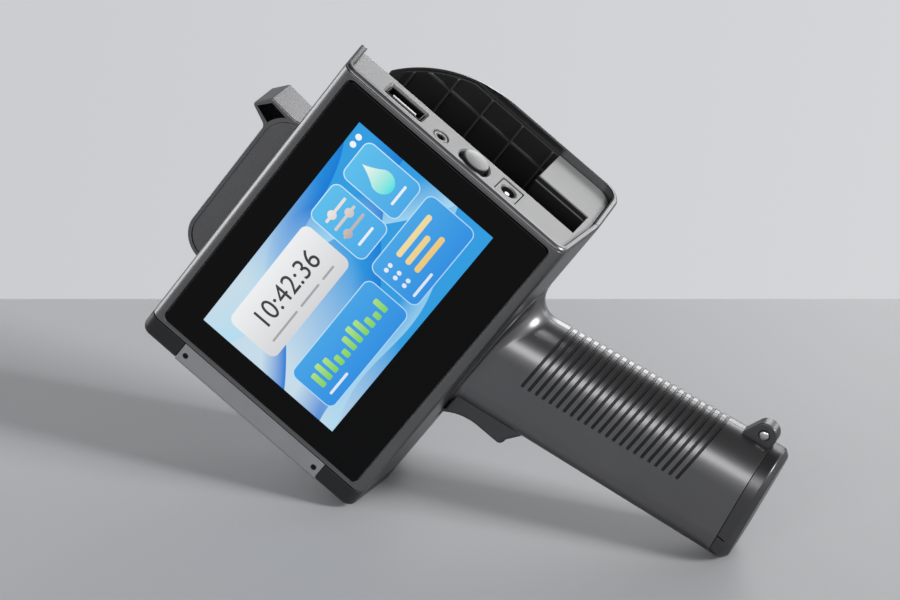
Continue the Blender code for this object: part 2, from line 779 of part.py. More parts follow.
def body_cutters():
    """The cutters that both housing halves share, in the order in which they cut the shell."""
    far = REAR_REACH + OVERRUN
    cavity_y = BAY_Y - PARTITION
    cavity = [(-OVERRUN, -FRONT_HALF_HEIGHT + WALL), (-OVERRUN, FRONT_HALF_HEIGHT - WALL)]
    cavity += [(cavity_y, side_at(cavity_y) - WALL), (cavity_y, -side_at(cavity_y) + WALL)]
    pocket_x = PANEL_BACK_X - FIT
    middle = FRONT_HALF_HEIGHT - FRONT_EDGE_R
    wall = WALL - POCKET_SPARE
    pocket = [(FRONT_RIM, -middle), (FRONT_RIM, middle), (FRONT_EDGE_R, FRONT_HALF_HEIGHT - wall)]
    pocket += [(BAY_Y + OVERRUN, side_at(BAY_Y) - wall), (BAY_Y + OVERRUN, DECK_Z - wall)]
    pocket += bay_outline(wall)[1:-1]
    pocket += [(FRONT_EDGE_R, -FRONT_HALF_HEIGHT + wall)]
    slot_x = LATCH_FRONT_X - LATCH_R - (LATCH_MID_Z - PIVOT_Z) - SLOT_GAP
    slot_y = LATCH_Y + LATCH_W + SLOT_GAP
    front_y = BAY_Y - RELIEF
    back_y = REAR_WALL_Y + RELIEF
    deck = [(slot_x, front_y), (far, front_y), (far, back_y), (MOUTH_X, back_y)]
    deck += [(MOUTH_X, slot_y), (slot_x, slot_y)]
    corner = [(far, LEDGE_Z)] + back_edge(0) + [(MOUTH_X, DECK_Z + OVERRUN), (far, DECK_Z + OVERRUN)]
    shelf = -side_at(BAY_Y) + WALL + RELIEF
    half_nozzle = NOZZLE_BAY_W / 2
    trigger_half = TRIGGER_W / 2 + TRIGGER_GAP
    hollow = [slanted_ring(GRIP_WALL, SEAM_Z - OVERRUN), level_ring(GRIP_WALL, shelf)]
    return [
        box("frame_seat", FRAME_X0 - OVERRUN, FRAME_X1 + FIT, -OVERRUN, FRAME_DEPTH + FIT,
            -FRONT_HALF_HEIGHT - OVERRUN, FRONT_HALF_HEIGHT + OVERRUN),
        plate("electronics_cavity", [cavity], "X", END_WALL_X, pocket_x),
        plate("panel_pocket", [pocket], "X", pocket_x - RELIEF, far),
        plate("bay_cavity", [bay_outline(WALL)], "X", END_WALL_X, pocket_x),
        plate("deck_opening", [deck], "Z", DECK_Z - CORNER_R, DECK_Z + OVERRUN),
        plate("back_corner", [corner], "Y", REAR_WALL_Y - OVERRUN, BODY_DEPTH + OVERRUN),
        box("end_wall_window", FRAME_X0 - OVERRUN, END_WALL_X + OVERRUN, WINDOW_Y - half_nozzle,
            WINDOW_Y + half_nozzle, -NOZZLE_BAY_H / 2, NOZZLE_BAY_H / 2),
        loft("grip_hollow", hollow),
        box("trigger_opening", TRIGGER_TOP_X - OVERRUN, TRIGGER_BACK_X + OVERRUN / 2,
            PARTING_Y - trigger_half, PARTING_Y + trigger_half, TRIGGER_BOTTOM_Z - 4 * TRIGGER_GAP,
            TRIGGER_TOP_Z + 2 * TRIGGER_GAP),
    ]


def body_bosses():
    """The bosses, posts and ear inside the shell, as one shape."""
    inner_y = PARTING_Y - GRIP_T / 2 + GRIP_WALL
    outer_y = PARTING_Y + GRIP_T / 2 - GRIP_WALL
    trigger_half = TRIGGER_W / 2 + TRIGGER_GAP
    shapes = []
    for name, x, z, seat, _ in CASE_SCREWS:
        in_body = seat == BODY_SEAT_Y
        start = BAY_Y - PARTITION / 2 if in_body else inner_y - RELIEF
        end = REAR_WALL_Y + RELIEF if in_body else outer_y + RELIEF
        shapes.append(rod(f"boss_{name}", "Y", x, z, BOSS_R, start, end, SCREW_STEPS))
    for x in BOARD_HOLES_X:
        for z in BOARD_HOLES_Z:
            shapes.append(rod("standoff", "Y", x, z, STANDOFF_R, BOARD_Y + BOARD_T + FIT,
                              BAY_Y - PARTITION + RELIEF, SCREW_STEPS))
    pin = (TRIGGER_PIVOT_X, TRIGGER_PIVOT_Z)
    shapes.append(rod("pin_boss_front", "Y", *pin, TRIGGER_BOSS_R, inner_y + RELIEF,
                      PARTING_Y - trigger_half, SCREW_STEPS))
    shapes.append(rod("pin_boss_back", "Y", *pin, TRIGGER_BOSS_R, PARTING_Y + trigger_half,
                      outer_y - RELIEF, SCREW_STEPS))
    post = (TRIGGER_SWITCH_X + TRIGGER_SWITCH_T / 2, (TRIGGER_SWITCH_Z0 + TRIGGER_SWITCH_Z1) / 2)
    shapes.append(rod("switch_post", "Y", *post, SWITCH_POST_R, inner_y - RELIEF,
                      PARTING_Y - TRIGGER_SWITCH_W / 2 - FIT, SCREW_STEPS))
    ear_y = LATCH_Y + LATCH_W + SLOT_GAP + FIT
    ear = [(LATCH_FRONT_X - EAR_R, DECK_Z - WALL / 2), (LATCH_FRONT_X + EAR_R, DECK_Z - WALL / 2)]
    ear += arc(LATCH_FRONT_X, PIVOT_Z, EAR_R, 0, 180, 2 * ARC_STEPS)
    shapes.append(plate("latch_ear", [ear], "Y", ear_y, ear_y + EAR_T))
    return merge("body_bosses", shapes)


def body_holes():
    """The bores in the bosses, lug, ear and partition, as one cutter."""
    far_y = BODY_DEPTH + OVERRUN
    shapes = []
    for name, x, z, seat, length in CASE_SCREWS:
        profile = [(0, far_y), (CASE_SCREW_HEAD_R + FIT, far_y), (CASE_SCREW_HEAD_R + FIT, seat)]
        profile += [(SCREW_HOLE_R, seat), (SCREW_HOLE_R, seat - length - SCREW_HOLE_SPARE)]
        profile += [(0, seat - length - SCREW_HOLE_SPARE)]
        shapes.append(stepped_bore(f"bore_{name}", profile, x, z))
    radius = BOARD_SCREW_R + FIT
    for x in BOARD_HOLES_X:
        for z in BOARD_HOLES_Z:
            shapes.append(rod("board_bore", "Y", x, z, radius, BOARD_Y, BAY_Y - PARTITION / 2, SCREW_STEPS))
    inner_y = PARTING_Y - GRIP_T / 2 + GRIP_WALL
    outer_y = PARTING_Y + GRIP_T / 2 - GRIP_WALL
    shapes.append(rod("pin_bore", "Y", TRIGGER_PIVOT_X, TRIGGER_PIVOT_Z, TRIGGER_PIN_R + FIT,
                      inner_y + WALL / 2, outer_y - WALL / 2, SCREW_STEPS))
    ear_end = LATCH_Y + LATCH_W + SLOT_GAP + FIT + EAR_T
    shapes.append(rod("latch_pin_bore", "Y", LATCH_FRONT_X, PIVOT_Z, LATCH_PIN_R + FIT,
                      BAY_Y - PARTITION - OVERRUN, ear_end + OVERRUN, SCREW_STEPS))
    _, hole_x = lug_outline()
    shapes.append(rod("lug_bore", "Y", hole_x, LUG_Z, LUG_HOLE_R, PARTING_Y - LUG_T, PARTING_Y + LUG_T,
                      SCREW_STEPS))
    return merge("body_holes", shapes)


def stepped_bore(name, profile, x, z):
    """A stepped round cutter along Y: (radius, y) points from its far end to its near end."""
    rings = []
    for radius, y in profile[1:-1]:
        rings.append([(px, y, pz) for px, pz in circle(x, z, radius, SCREW_STEPS)])
    return loft(name, rings)


def make_housings():
    """The two halves of the shell, with the grip, parted in the plane through the grip."""
    neck = [neck_ring(angle) for angle in (0, 30, 60, 90)]
    grip = loft("grip_blank", [slanted_ring(0, SEAM_Z)] + neck + [neck_ring(90, WALL)])
    cutters = body_cutters()
    bosses = body_bosses()
    lug, _ = lug_outline()
    lug = plate("lug_blank", [lug], "Y", PARTING_Y - LUG_T / 2, PARTING_Y + LUG_T / 2)
    holes = body_holes()
    grooves = groove_cutter()
    high = WAIST_HALF_HEIGHT + 5 * OVERRUN
    low = GRIP_END_Z - 5 * OVERRUN
    wide = REAR_REACH + 5 * OVERRUN
    far = BODY_DEPTH + 5 * OVERRUN
    halves = {
        "front_housing": box("back_half_space", -wide, wide, PARTING_Y - FIT / 2, far, low, high),
        "back_housing": box("front_half_space", -wide, wide, -far, PARTING_Y + FIT / 2, low, high),
    }
    for name, other_half in halves.items():
        shell = plate(name, [body_outline()], "X", FRAME_X0, REAR_REACH)
        fuse(shell, grip)
        cut(shell, *cutters)
        fuse(shell, bosses, lug)
        cut(shell, holes, grooves, other_half)
        finish(shell, "housing_plastic")


# Screen

def make_screen():
    """The screen frame, its glass and the panel behind it."""
    half_h = GLASS_HALF_H
    frame = plate("screen_frame", [frame_outline()], "X", FRAME_X0, FRAME_X1)
    recess = rectangle(GLASS_X0 - FIT, GLASS_X1 + FIT, -half_h - FIT, half_h + FIT, GLASS_CORNER_R)
    pane = rectangle(GLASS_X0, GLASS_X1, -half_h, half_h, GLASS_CORNER_R)
    seat_y = GLASS_T + FIT
    front_x = GLASS_X0 + GLASS_LEDGE
    rear_x = GLASS_X1 - GLASS_LEDGE
    opening_z = half_h - GLASS_LEDGE
    behind_y = FRAME_DEPTH + OVERRUN
    high = FRONT_HALF_HEIGHT + OVERRUN
    cut(frame,
        plate("glass_recess", [recess], "Y", -OVERRUN, seat_y),
        box("frame_opening", front_x, rear_x, seat_y - RELIEF, behind_y, -opening_z, opening_z),
        box("rear_bar_relief", rear_x - RELIEF, FRAME_X1 + OVERRUN, REAR_BAR, behind_y, -high, high))
    finish(frame, "housing_plastic")
    finish(plate("screen_glass", [pane], "Y", 0, GLASS_T), "screen_glass")
    lcd = box("lcd_panel", GLASS_X0 + LCD_SIDE, GLASS_X1 - LCD_SIDE, seat_y, seat_y + LCD_T,
              -half_h + LCD_LOWER, half_h - LCD_UPPER)
    finish(lcd, "lcd")


def frame_outline():
    """The screen frame's section in (y, z): the front of the body's outline."""
    middle = FRONT_HALF_HEIGHT - FRONT_EDGE_R
    points = arc(FRONT_EDGE_R, middle, FRONT_EDGE_R, 180, 90)
    points += [(FRAME_DEPTH, side_at(FRAME_DEPTH)), (FRAME_DEPTH, -side_at(FRAME_DEPTH))]
    return points + arc(FRONT_EDGE_R, -middle, FRONT_EDGE_R, -90, -180)


# Print nose

def screw_piece(name, direction, place, head_r, head_h, shaft_r, length, material):
    """A plain screw: its head stands one way from a seat, its shaft runs the other way."""
    profile = [(0, head_h), (head_r, head_h), (head_r, 0), (shaft_r, 0), (shaft_r, -length), (0, -length)]
    return finish(turned(name, profile, direction, place, SCREW_STEPS), material)


def make_nose():
    """The nose cap, the folded steel plate on it, its screws, and the rollers that run on the surface."""
    cap = plate("nose_cap", [body_outline()], "X", -NOSE_REACH, NOSE_CAP_X)
    bevel_end(cap, -NOSE_REACH, NOSE_EDGE_R)
    inner_x = -NOSE_REACH + PLATE_T + FIT
    inner_y = PLATE_T + FIT
    out_x = -NOSE_REACH - OVERRUN
    rear_x = NOSE_CAP_X + OVERRUN
    fold = [(out_x, -OVERRUN), (rear_x, -OVERRUN), (rear_x, inner_y), (inner_x, inner_y)]
    fold += [(inner_x, BODY_DEPTH - inner_y), (rear_x, BODY_DEPTH - inner_y), (rear_x, BODY_DEPTH + OVERRUN)]
    fold += [(out_x, BODY_DEPTH + OVERRUN)]
    half_bay = NOZZLE_BAY_W / 2
    screw_x = -NOSE_REACH + PLATE_SCREW_SETBACK
    bore_y = PLATE_SCREW_L + 2 * PLATE_T
    radius = PLATE_SCREW_HEAD_R + FIT
    bores = []
    for z in (-PLATE_SCREW_Z, PLATE_SCREW_Z):
        bores.append(rod("front_bore", "Y", screw_x, z, radius, -OVERRUN, bore_y, SCREW_STEPS))
        bores.append(rod("back_bore", "Y", screw_x, z, radius, BODY_DEPTH - bore_y, BODY_DEPTH + OVERRUN,
                         SCREW_STEPS))
    bores = merge("nose_screw_bores", bores)
    reach = ROLLER_R + ROLLER_CLEARANCE
    half_l = ROLLER_L / 2 + ROLLER_CLEARANCE
    pockets = []
    axle_bores = []
    for z in (-ROLLER_Z, ROLLER_Z):
        pockets.append(box("roller_pocket", out_x, ROLLER_X + reach, PARTING_Y - reach, PARTING_Y + reach,
                           z - half_l, z + half_l))
        half_axle = AXLE_L / 2 + FIT
        axle_bores.append(rod("axle_bore", "Z", ROLLER_X, PARTING_Y, AXLE_R + FIT, z - half_axle,
                              z + half_axle, SCREW_STEPS))
    sensor_y = PARTING_Y + SENSOR_OFFSET
    sensor_z = -ROLLER_Z
    half_w = SENSOR_W / 2
    half_h = SENSOR_H / 2
    sensor_pocket = box("sensor_pocket", NOSE_CAP_X - SENSOR_T - FIT, rear_x, sensor_y - half_w - FIT,
                        sensor_y + half_w + FIT, sensor_z - half_h - FIT, sensor_z + half_h + FIT)
    cut(cap,
        plate("plate_seat", [fold], "Z", -PLATE_HALF - FIT, PLATE_HALF + FIT),
        box("nozzle_bay", out_x, rear_x, WINDOW_Y - half_bay, WINDOW_Y + half_bay, -NOZZLE_BAY_H / 2,
            NOZZLE_BAY_H / 2),
        bores, merge("roller_pockets", pockets), merge("axle_bores", axle_bores), sensor_pocket)
    finish(cap, "dark_plastic")

    end_x = NOSE_CAP_X - FIT
    bend = PLATE_BEND_R
    outline = [(end_x, 0)] + arc(-NOSE_REACH + bend, bend, bend, 270, 180, 3)
    outline += arc(-NOSE_REACH + bend, BODY_DEPTH - bend, bend, 180, 90, 3) + [(end_x, BODY_DEPTH)]
    outline += [(end_x, BODY_DEPTH - PLATE_T), (-NOSE_REACH + PLATE_T, BODY_DEPTH - PLATE_T)]
    outline += [(-NOSE_REACH + PLATE_T, PLATE_T), (end_x, PLATE_T)]
    nose_plate = plate("nose_plate", [outline], "Z", -PLATE_HALF, PLATE_HALF)
    window = box("print_window", out_x, -NOSE_REACH + OVERRUN, WINDOW_Y - WINDOW_W / 2,
                 WINDOW_Y + WINDOW_W / 2, -WINDOW_H / 2, WINDOW_H / 2)
    cut(nose_plate, window, bores)
    finish(nose_plate, "nose_steel")

    seat = PLATE_SCREW_HEAD_H + FIT
    number = 0
    for direction, y in (("-Y", seat), ("+Y", BODY_DEPTH - seat)):
        for z in (PLATE_SCREW_Z, -PLATE_SCREW_Z):
            number += 1
            screw_piece(f"nose_screw_{number}", direction, (screw_x, y, z), PLATE_SCREW_HEAD_R,
                        PLATE_SCREW_HEAD_H, PLATE_SCREW_R, PLATE_SCREW_L, "black_steel")

    for label, z in (("guide", ROLLER_Z), ("encoder", -ROLLER_Z)):
        half_l = ROLLER_L / 2
        half_axle = AXLE_L / 2
        roller = rod(f"{label}_roller", "Z", ROLLER_X, PARTING_Y, ROLLER_R, z - half_l, z + half_l)
        hole = rod(f"{label}_roller_bore", "Z", ROLLER_X, PARTING_Y, AXLE_R + FIT, z - ROLLER_L,
                   z + ROLLER_L, SCREW_STEPS)
        set_origin(roller, ROLLER_X, PARTING_Y, z)
        finish(cut(roller, hole), "rubber")
        axle = rod(f"{label}_axle", "Z", ROLLER_X, PARTING_Y, AXLE_R, z - half_axle, z + half_axle,
                   SCREW_STEPS)
        finish(axle, "bright_steel")
    sensor = box("encoder_sensor", NOSE_CAP_X - SENSOR_T, NOSE_CAP_X, sensor_y - half_w, sensor_y + half_w,
                 sensor_z - half_h, sensor_z + half_h)
    finish(sensor, "circuit_board")


def bevel_end(obj, x, width):
    """Round the edges that an extruded piece has at one end."""
    bm = bmesh.new()
    bm.from_mesh(obj.data)
    flat = [f for f in bm.faces if abs(f.normal.x) > 0.9 and abs(f.calc_center_median().x - x) < 1e-6]
    bmesh.ops.dissolve_faces(bm, faces=flat)
    cap = [f for f in bm.faces if abs(f.normal.x) > 0.9 and abs(f.calc_center_median().x - x) < 1e-6]
    bmesh.ops.bevel(bm, geom=list(cap[0].edges), offset=width, offset_type="OFFSET", segments=3, profile=0.5,
                    affect="EDGES", clamp_overlap=False)
    bmesh.ops.recalc_face_normals(bm, faces=bm.faces)
    bm.to_mesh(obj.data)
    bm.free()


# Rear panel, sockets and main board

def make_rear_panel():
    """The L-shaped rear panel."""
    middle = FRONT_HALF_HEIGHT - FRONT_EDGE_R
    strip_y = BAY_Y - FIT
    _, lower = back_arcs(WALL + FIT)
    gap = WALL + FIT
    outline = [(REAR_BAR + FIT, -middle), (REAR_BAR + FIT, middle), (FRONT_EDGE_R, FRONT_HALF_HEIGHT - gap)]
    outline += [(strip_y, side_at(strip_y) - gap), (strip_y, NOTCH_Z)]
    outline += [(NOTCH_Y, NOTCH_Z), (NOTCH_Y, LEDGE_Z)]
    outline += [(REAR_WALL_Y - FIT, LEDGE_Z)] + lower
    outline += [(PARTING_Y, -WAIST_HALF_HEIGHT + gap), (FRONT_EDGE_R, -FRONT_HALF_HEIGHT + gap)]
    usb_y = USB_W / 2 + FIT
    usb_z = USB_H / 2 + FIT
    dc_y = DC_W / 2 + FIT
    dc_z = DC_H / 2 + FIT
    holes = [
        rectangle(USB_Y - usb_y, USB_Y + usb_y, USB_Z - usb_z, USB_Z + usb_z),
        circle(JACK_Y, JACK_Z, JACK_R + FIT),
        circle(BUTTON_Y, BUTTON_Z, BUTTON_R + FIT, 2 * SCREW_STEPS),
        rectangle(DC_Y - dc_y, DC_Y + dc_y, DC_Z - dc_z, DC_Z + dc_z),
    ]
    finish(plate("port_panel", [outline] + holes, "X", PANEL_BACK_X, PANEL_X), "panel_plastic")


def make_ports():
    """The sockets and the power button behind the rear panel."""
    lip_x = PANEL_X - FIT
    bore_x = PANEL_X - SOCKET_BORE
    out_x = PANEL_X + OVERRUN
    usb = box("usb_socket", SOCKET_BACK, lip_x, USB_Y - USB_W / 2, USB_Y + USB_W / 2, USB_Z - USB_H / 2,
              USB_Z + USB_H / 2)
    inner_y = USB_W / 2 - USB_WALL
    inner_z = USB_H / 2 - USB_WALL
    cut(usb, box("usb_mouth", bore_x, out_x, USB_Y - inner_y, USB_Y + inner_y, USB_Z - inner_z,
                 USB_Z + inner_z))
    finish(usb, "bright_steel")
    tongue = box("usb_tongue", bore_x + FIT, PANEL_X - 4 * FIT, USB_Y - TONGUE_W / 2, USB_Y + TONGUE_W / 2,
                 USB_Z - TONGUE_H / 2, USB_Z + TONGUE_H / 2)
    finish(tongue, "white_plastic")

    wide = JACK_R + JACK_FLANGE
    flange_x = PANEL_BACK_X - FIT
    profile = [(0, bore_x), (JACK_BORE_R, bore_x), (JACK_BORE_R, lip_x), (JACK_R, lip_x), (JACK_R, flange_x)]
    profile += [(wide, flange_x), (wide, SOCKET_BACK), (0, SOCKET_BACK)]
    finish(turned("sensor_jack", profile, "+X", (0, JACK_Y, JACK_Z)), "black_plastic")

    top = PANEL_X + BUTTON_PROUD
    shoulder = top - BUTTON_PROUD * 0.6
    wide = BUTTON_R + BUTTON_FLANGE
    flange_back = flange_x - BUTTON_FLANGE_T
    stem_x = flange_back - BUTTON_STEM_L
    profile = [(0, top), (BUTTON_R * 0.6, top - BUTTON_PROUD * 0.1)]
    profile += [(BUTTON_R * 0.9, top - BUTTON_PROUD * 0.28)]
    profile += [(BUTTON_R, shoulder), (BUTTON_R, flange_x), (wide, flange_x), (wide, flange_back)]
    profile += [(BUTTON_STEM_R, flange_back), (BUTTON_STEM_R, stem_x), (0, stem_x)]
    finish(turned("power_button", profile, "+X", (0, BUTTON_Y, BUTTON_Z), 2 * SCREW_STEPS), "panel_plastic")
    switch_y = BOARD_Y - FIT
    switch = box("power_switch", SOCKET_BACK, stem_x - BUTTON_TRAVEL - FIT, switch_y - SWITCH_SIZE, switch_y,
                 BUTTON_Z - SWITCH_SIZE / 2, BUTTON_Z + SWITCH_SIZE / 2)
    finish(switch, "black_plastic")

    dc = box("dc_socket", SOCKET_BACK, lip_x, DC_Y - DC_W / 2, DC_Y + DC_W / 2, DC_Z - DC_H / 2,
             DC_Z + DC_H / 2)
    cut(dc, rod("dc_bore", "X", DC_Y, DC_Z, DC_BORE_R, bore_x, out_x))
    finish(dc, "black_plastic")
    pin = rod("dc_pin", "X", DC_Y, DC_Z, DC_PIN_R, bore_x + FIT, PANEL_X - 5 * FIT, SCREW_STEPS)
    finish(pin, "bright_steel")


def make_board():
    """The main board with its processor, screwed to posts on the partition."""
    board = box("main_board", BOARD_X0, SOCKET_BACK - FIT, BOARD_Y, BOARD_Y + BOARD_T, -BOARD_HALF_H,
                BOARD_HALF_H)
    bores = []
    number = 0
    for x in BOARD_HOLES_X:
        for z in BOARD_HOLES_Z:
            number += 1
            bores.append(rod("board_hole", "Y", x, z, BOARD_SCREW_R + FIT, BOARD_Y - OVERRUN, BAY_Y,
                             SCREW_STEPS))
            length = BAY_Y - PARTITION / 2 - BOARD_Y
            screw_piece(f"board_screw_{number}", "-Y", (x, BOARD_Y - FIT, z), BOARD_SCREW_HEAD_R,
                        BOARD_SCREW_HEAD_H, BOARD_SCREW_R, length, "bright_steel")
    finish(cut(board, merge("board_holes", bores)), "circuit_board")
    half = PROCESSOR_SIZE / 2
    chip = box("processor", -half, half, BOARD_Y - FIT - PROCESSOR_T, BOARD_Y - FIT, -half, half)
    finish(chip, "black_plastic")


# Cartridge bay

def make_bay():
    """The lining, floor, dock and contact board of the cartridge bay."""
    back_y = REAR_WALL_Y - FIT
    rib_y = back_y - LINER_T - LINER_RIB_H
    radius = CORNER_R - LINER_EDGE
    rise = LINER_TOP - (DECK_Z - CORNER_R)
    end = math.degrees(math.asin(rise / radius))
    bottom = LEDGE_Z + FIT
    outline = [(LINER_FRONT_X, bottom), (REAR_REACH - CORNER_SETBACK / 2 - LINER_EDGE, bottom)]
    outline += arc(MOUTH_X, DECK_Z - CORNER_R, radius, 0, end, 2 * ARC_STEPS) + [(LINER_FRONT_X, LINER_TOP)]
    liner = plate("bay_liner", [outline], "Y", rib_y, back_y)
    finish(cut(liner, liner_pockets(rib_y, radius)), "black_plastic")

    top = LEDGE_Z - FIT
    low = NOTCH_Z - FIT
    wall_y = NOTCH_Y + FIT
    fold = [(BAY_Y + FIT, low), (wall_y, low), (wall_y, top), (back_y, top), (back_y, top - BAY_FLOOR_T)]
    fold += [(wall_y + BAY_FLOOR_T, top - BAY_FLOOR_T), (wall_y + BAY_FLOOR_T, low - BAY_FLOOR_T)]
    fold += [(BAY_Y + FIT, low - BAY_FLOOR_T)]
    finish(plate("bay_floor", [fold], "X", LINER_FRONT_X, PANEL_BACK_X - FIT), "black_plastic")

    dock_x = END_WALL_X + FIT
    half_w = NOZZLE_BAY_W / 2
    half_h = NOZZLE_BAY_H / 2
    loops = [rectangle(BAY_Y + FIT, back_y, DOCK_Z0, DOCK_Z1)]
    loops += [rectangle(WINDOW_Y - half_w, WINDOW_Y + half_w, -half_h, half_h)]
    finish(plate("cartridge_dock", loops, "X", dock_x, dock_x + DOCK_T), "black_plastic")
    contact_x = dock_x + DOCK_T + FIT
    contact_y = BAY_Y + 5 * FIT
    contacts = box("contact_board", contact_x, contact_x + CONTACT_T, contact_y, contact_y + CONTACT_W,
                   -CONTACT_H / 2, CONTACT_H / 2)
    finish(contacts, "circuit_board")


def liner_pockets(rib_y, radius):
    """The hollows between the ribs of the bay's lining, as one cutter."""
    pockets = []
    half = LINER_RIB_W / 2
    for row in range(LINER_ROWS):
        z1 = LINER_RIB_Z + LINER_RIB_PITCH * (1 - row)
        z0 = z1 - LINER_RIB_PITCH
        rise = max(z1 - (DECK_Z - CORNER_R), 0.0)
        limit = MOUTH_X + math.sqrt(radius ** 2 - rise ** 2) - LINER_RIB_W
        for column in range(LINER_COLUMNS):
            x0 = LINER_RIB_X - LINER_RIB_PITCH * column + half
            x1 = min(x0 + LINER_RIB_PITCH - LINER_RIB_W, limit)
            if x1 - x0 > 2 * LINER_RIB_W:
                pockets.append(box("liner_pocket", x0, x1, rib_y - OVERRUN, rib_y + LINER_RIB_H, z0 + half,
                                   z1 - half))
    return merge("liner_pockets", pockets)


# Latch

def latch_outline():
    """The latch lever in (x, z): a long rounded bar with the finger hook at its rear."""
    outline = arc(LATCH_FRONT_X, LATCH_MID_Z, LATCH_R, 90, 270, 2 * ARC_STEPS)
    outline += arc(LATCH_REAR_X, LATCH_MID_Z, LATCH_R, -90, 20, 2 * ARC_STEPS)
    outline += [(HOOK_BACK_X, HOOK_BACK_Z - HOOK_SAG / 2), (HOOK_BACK_X - HOOK_SAG / 2, HOOK_BACK_Z)]
    outline += [(HOOK_TIP_X + HOOK_SAG / 2, HOOK_TIP_Z), (HOOK_TIP_X, HOOK_TIP_Z)]
    outline += [(HOOK_TIP_X - HOOK_SAG / 2, HOOK_TIP_Z - HOOK_SAG / 2)]
    top_z = LATCH_MID_Z + LATCH_R
    knee = (HOOK_FOOT_X + HOOK_SAG / 2, top_z + HOOK_SAG)
    return outline + bezier(outline[-1], knee, (HOOK_FOOT_X, top_z))


def make_latch():
    """The latch lever with its hinge pin and the coil spring that holds it down."""
    lever = plate("latch_lever", [latch_outline()], "Y", LATCH_Y, LATCH_Y + LATCH_W)
    face = arc(LATCH_FRONT_X, LATCH_MID_Z, LATCH_R - LATCH_RIM, 90, 270, 2 * ARC_STEPS)
    face += arc(LATCH_REAR_X, LATCH_MID_Z, LATCH_R - LATCH_RIM, -90, 90, 2 * ARC_STEPS)
    hollow = arc(LATCH_REAR_X, LATCH_MID_Z, LATCH_R, 75, 36, ARC_STEPS)
    hollow += [(HOOK_BACK_X - HOOK_WALL, HOOK_BACK_Z - HOOK_WALL)]
    hollow += [(HOOK_TIP_X + HOOK_SAG / 4, HOOK_TIP_Z - HOOK_WALL)]
    back_y = LATCH_Y + LATCH_W
    far_y = back_y + OVERRUN
    cut(lever,
        plate("latch_face", [face], "Y", LATCH_Y - OVERRUN, LATCH_Y + LATCH_INSET),
        plate("hook_hollow", [hollow], "Y", LATCH_Y - OVERRUN, back_y - HOOK_WALL),
        rod("latch_hub", "Y", LATCH_FRONT_X, PIVOT_Z, HUB_POCKET_R, back_y - HUB_POCKET_DEPTH, far_y),
        rod("latch_bore", "Y", LATCH_FRONT_X, PIVOT_Z, LATCH_PIN_R + FIT, LATCH_Y - OVERRUN, far_y,
            SCREW_STEPS))
    for piece in [lever] + [m.object for m in lever.modifiers]:
        set_origin(piece, LATCH_FRONT_X, LATCH_Y, PIVOT_Z)
    finish(lever, "housing_plastic")
    ear_end = back_y + SLOT_GAP + FIT + EAR_T
    pin = rod("latch_pin", "Y", LATCH_FRONT_X, PIVOT_Z, LATCH_PIN_R, BAY_Y - PARTITION + FIT, ear_end - FIT,
              SCREW_STEPS)
    finish(pin, "bright_steel")
    start = back_y - HUB_POCKET_DEPTH + FIT + SPRING_WIRE_R
    spring("latch_spring", "+Y", (LATCH_FRONT_X, start, PIVOT_Z), LATCH_SPRING_R, LATCH_SPRING_PITCH,
           LATCH_SPRING_TURNS, "bright_steel")


# Trigger

def trigger_outline():
    """The trigger in (x, z): a hollowed front, a blunt toe and a hub at the pivot."""
    top = (TRIGGER_TOP_X, TRIGGER_TOP_Z + TRIGGER_LIP)
    lip_x = TRIGGER_TOP_X + TRIGGER_LIP_L
    waist = (TRIGGER_WAIST_X, TRIGGER_WAIST_Z)
    tip = (TRIGGER_TIP_X, TRIGGER_TIP_Z)
    toe = (TRIGGER_TIP_X + TRIGGER_TOE_R, TRIGGER_TIP_Z - TRIGGER_TOE_R * 0.7)
    drop = TRIGGER_BACK_X - TRIGGER_PIVOT_X
    start = -math.degrees(math.acos(drop / TRIGGER_HUB_R))
    points = [top] + bezier(top, (TRIGGER_WAIST_X, TRIGGER_TOP_Z - TRIGGER_HUB_R), waist) + [tip]
    points += bezier(tip, (TRIGGER_TIP_X, toe[1]), toe, 3)
    points += [(TRIGGER_BACK_X - TRIGGER_TOE_R * 2, TRIGGER_BOTTOM_Z), (TRIGGER_BACK_X, TRIGGER_BOTTOM_Z)]
    points += arc(TRIGGER_PIVOT_X, TRIGGER_PIVOT_Z, TRIGGER_HUB_R, start, 90, 2 * ARC_STEPS)
    return points + [(lip_x + TRIGGER_LIP, TRIGGER_TOP_Z), (lip_x, TRIGGER_TOP_Z + TRIGGER_LIP)]


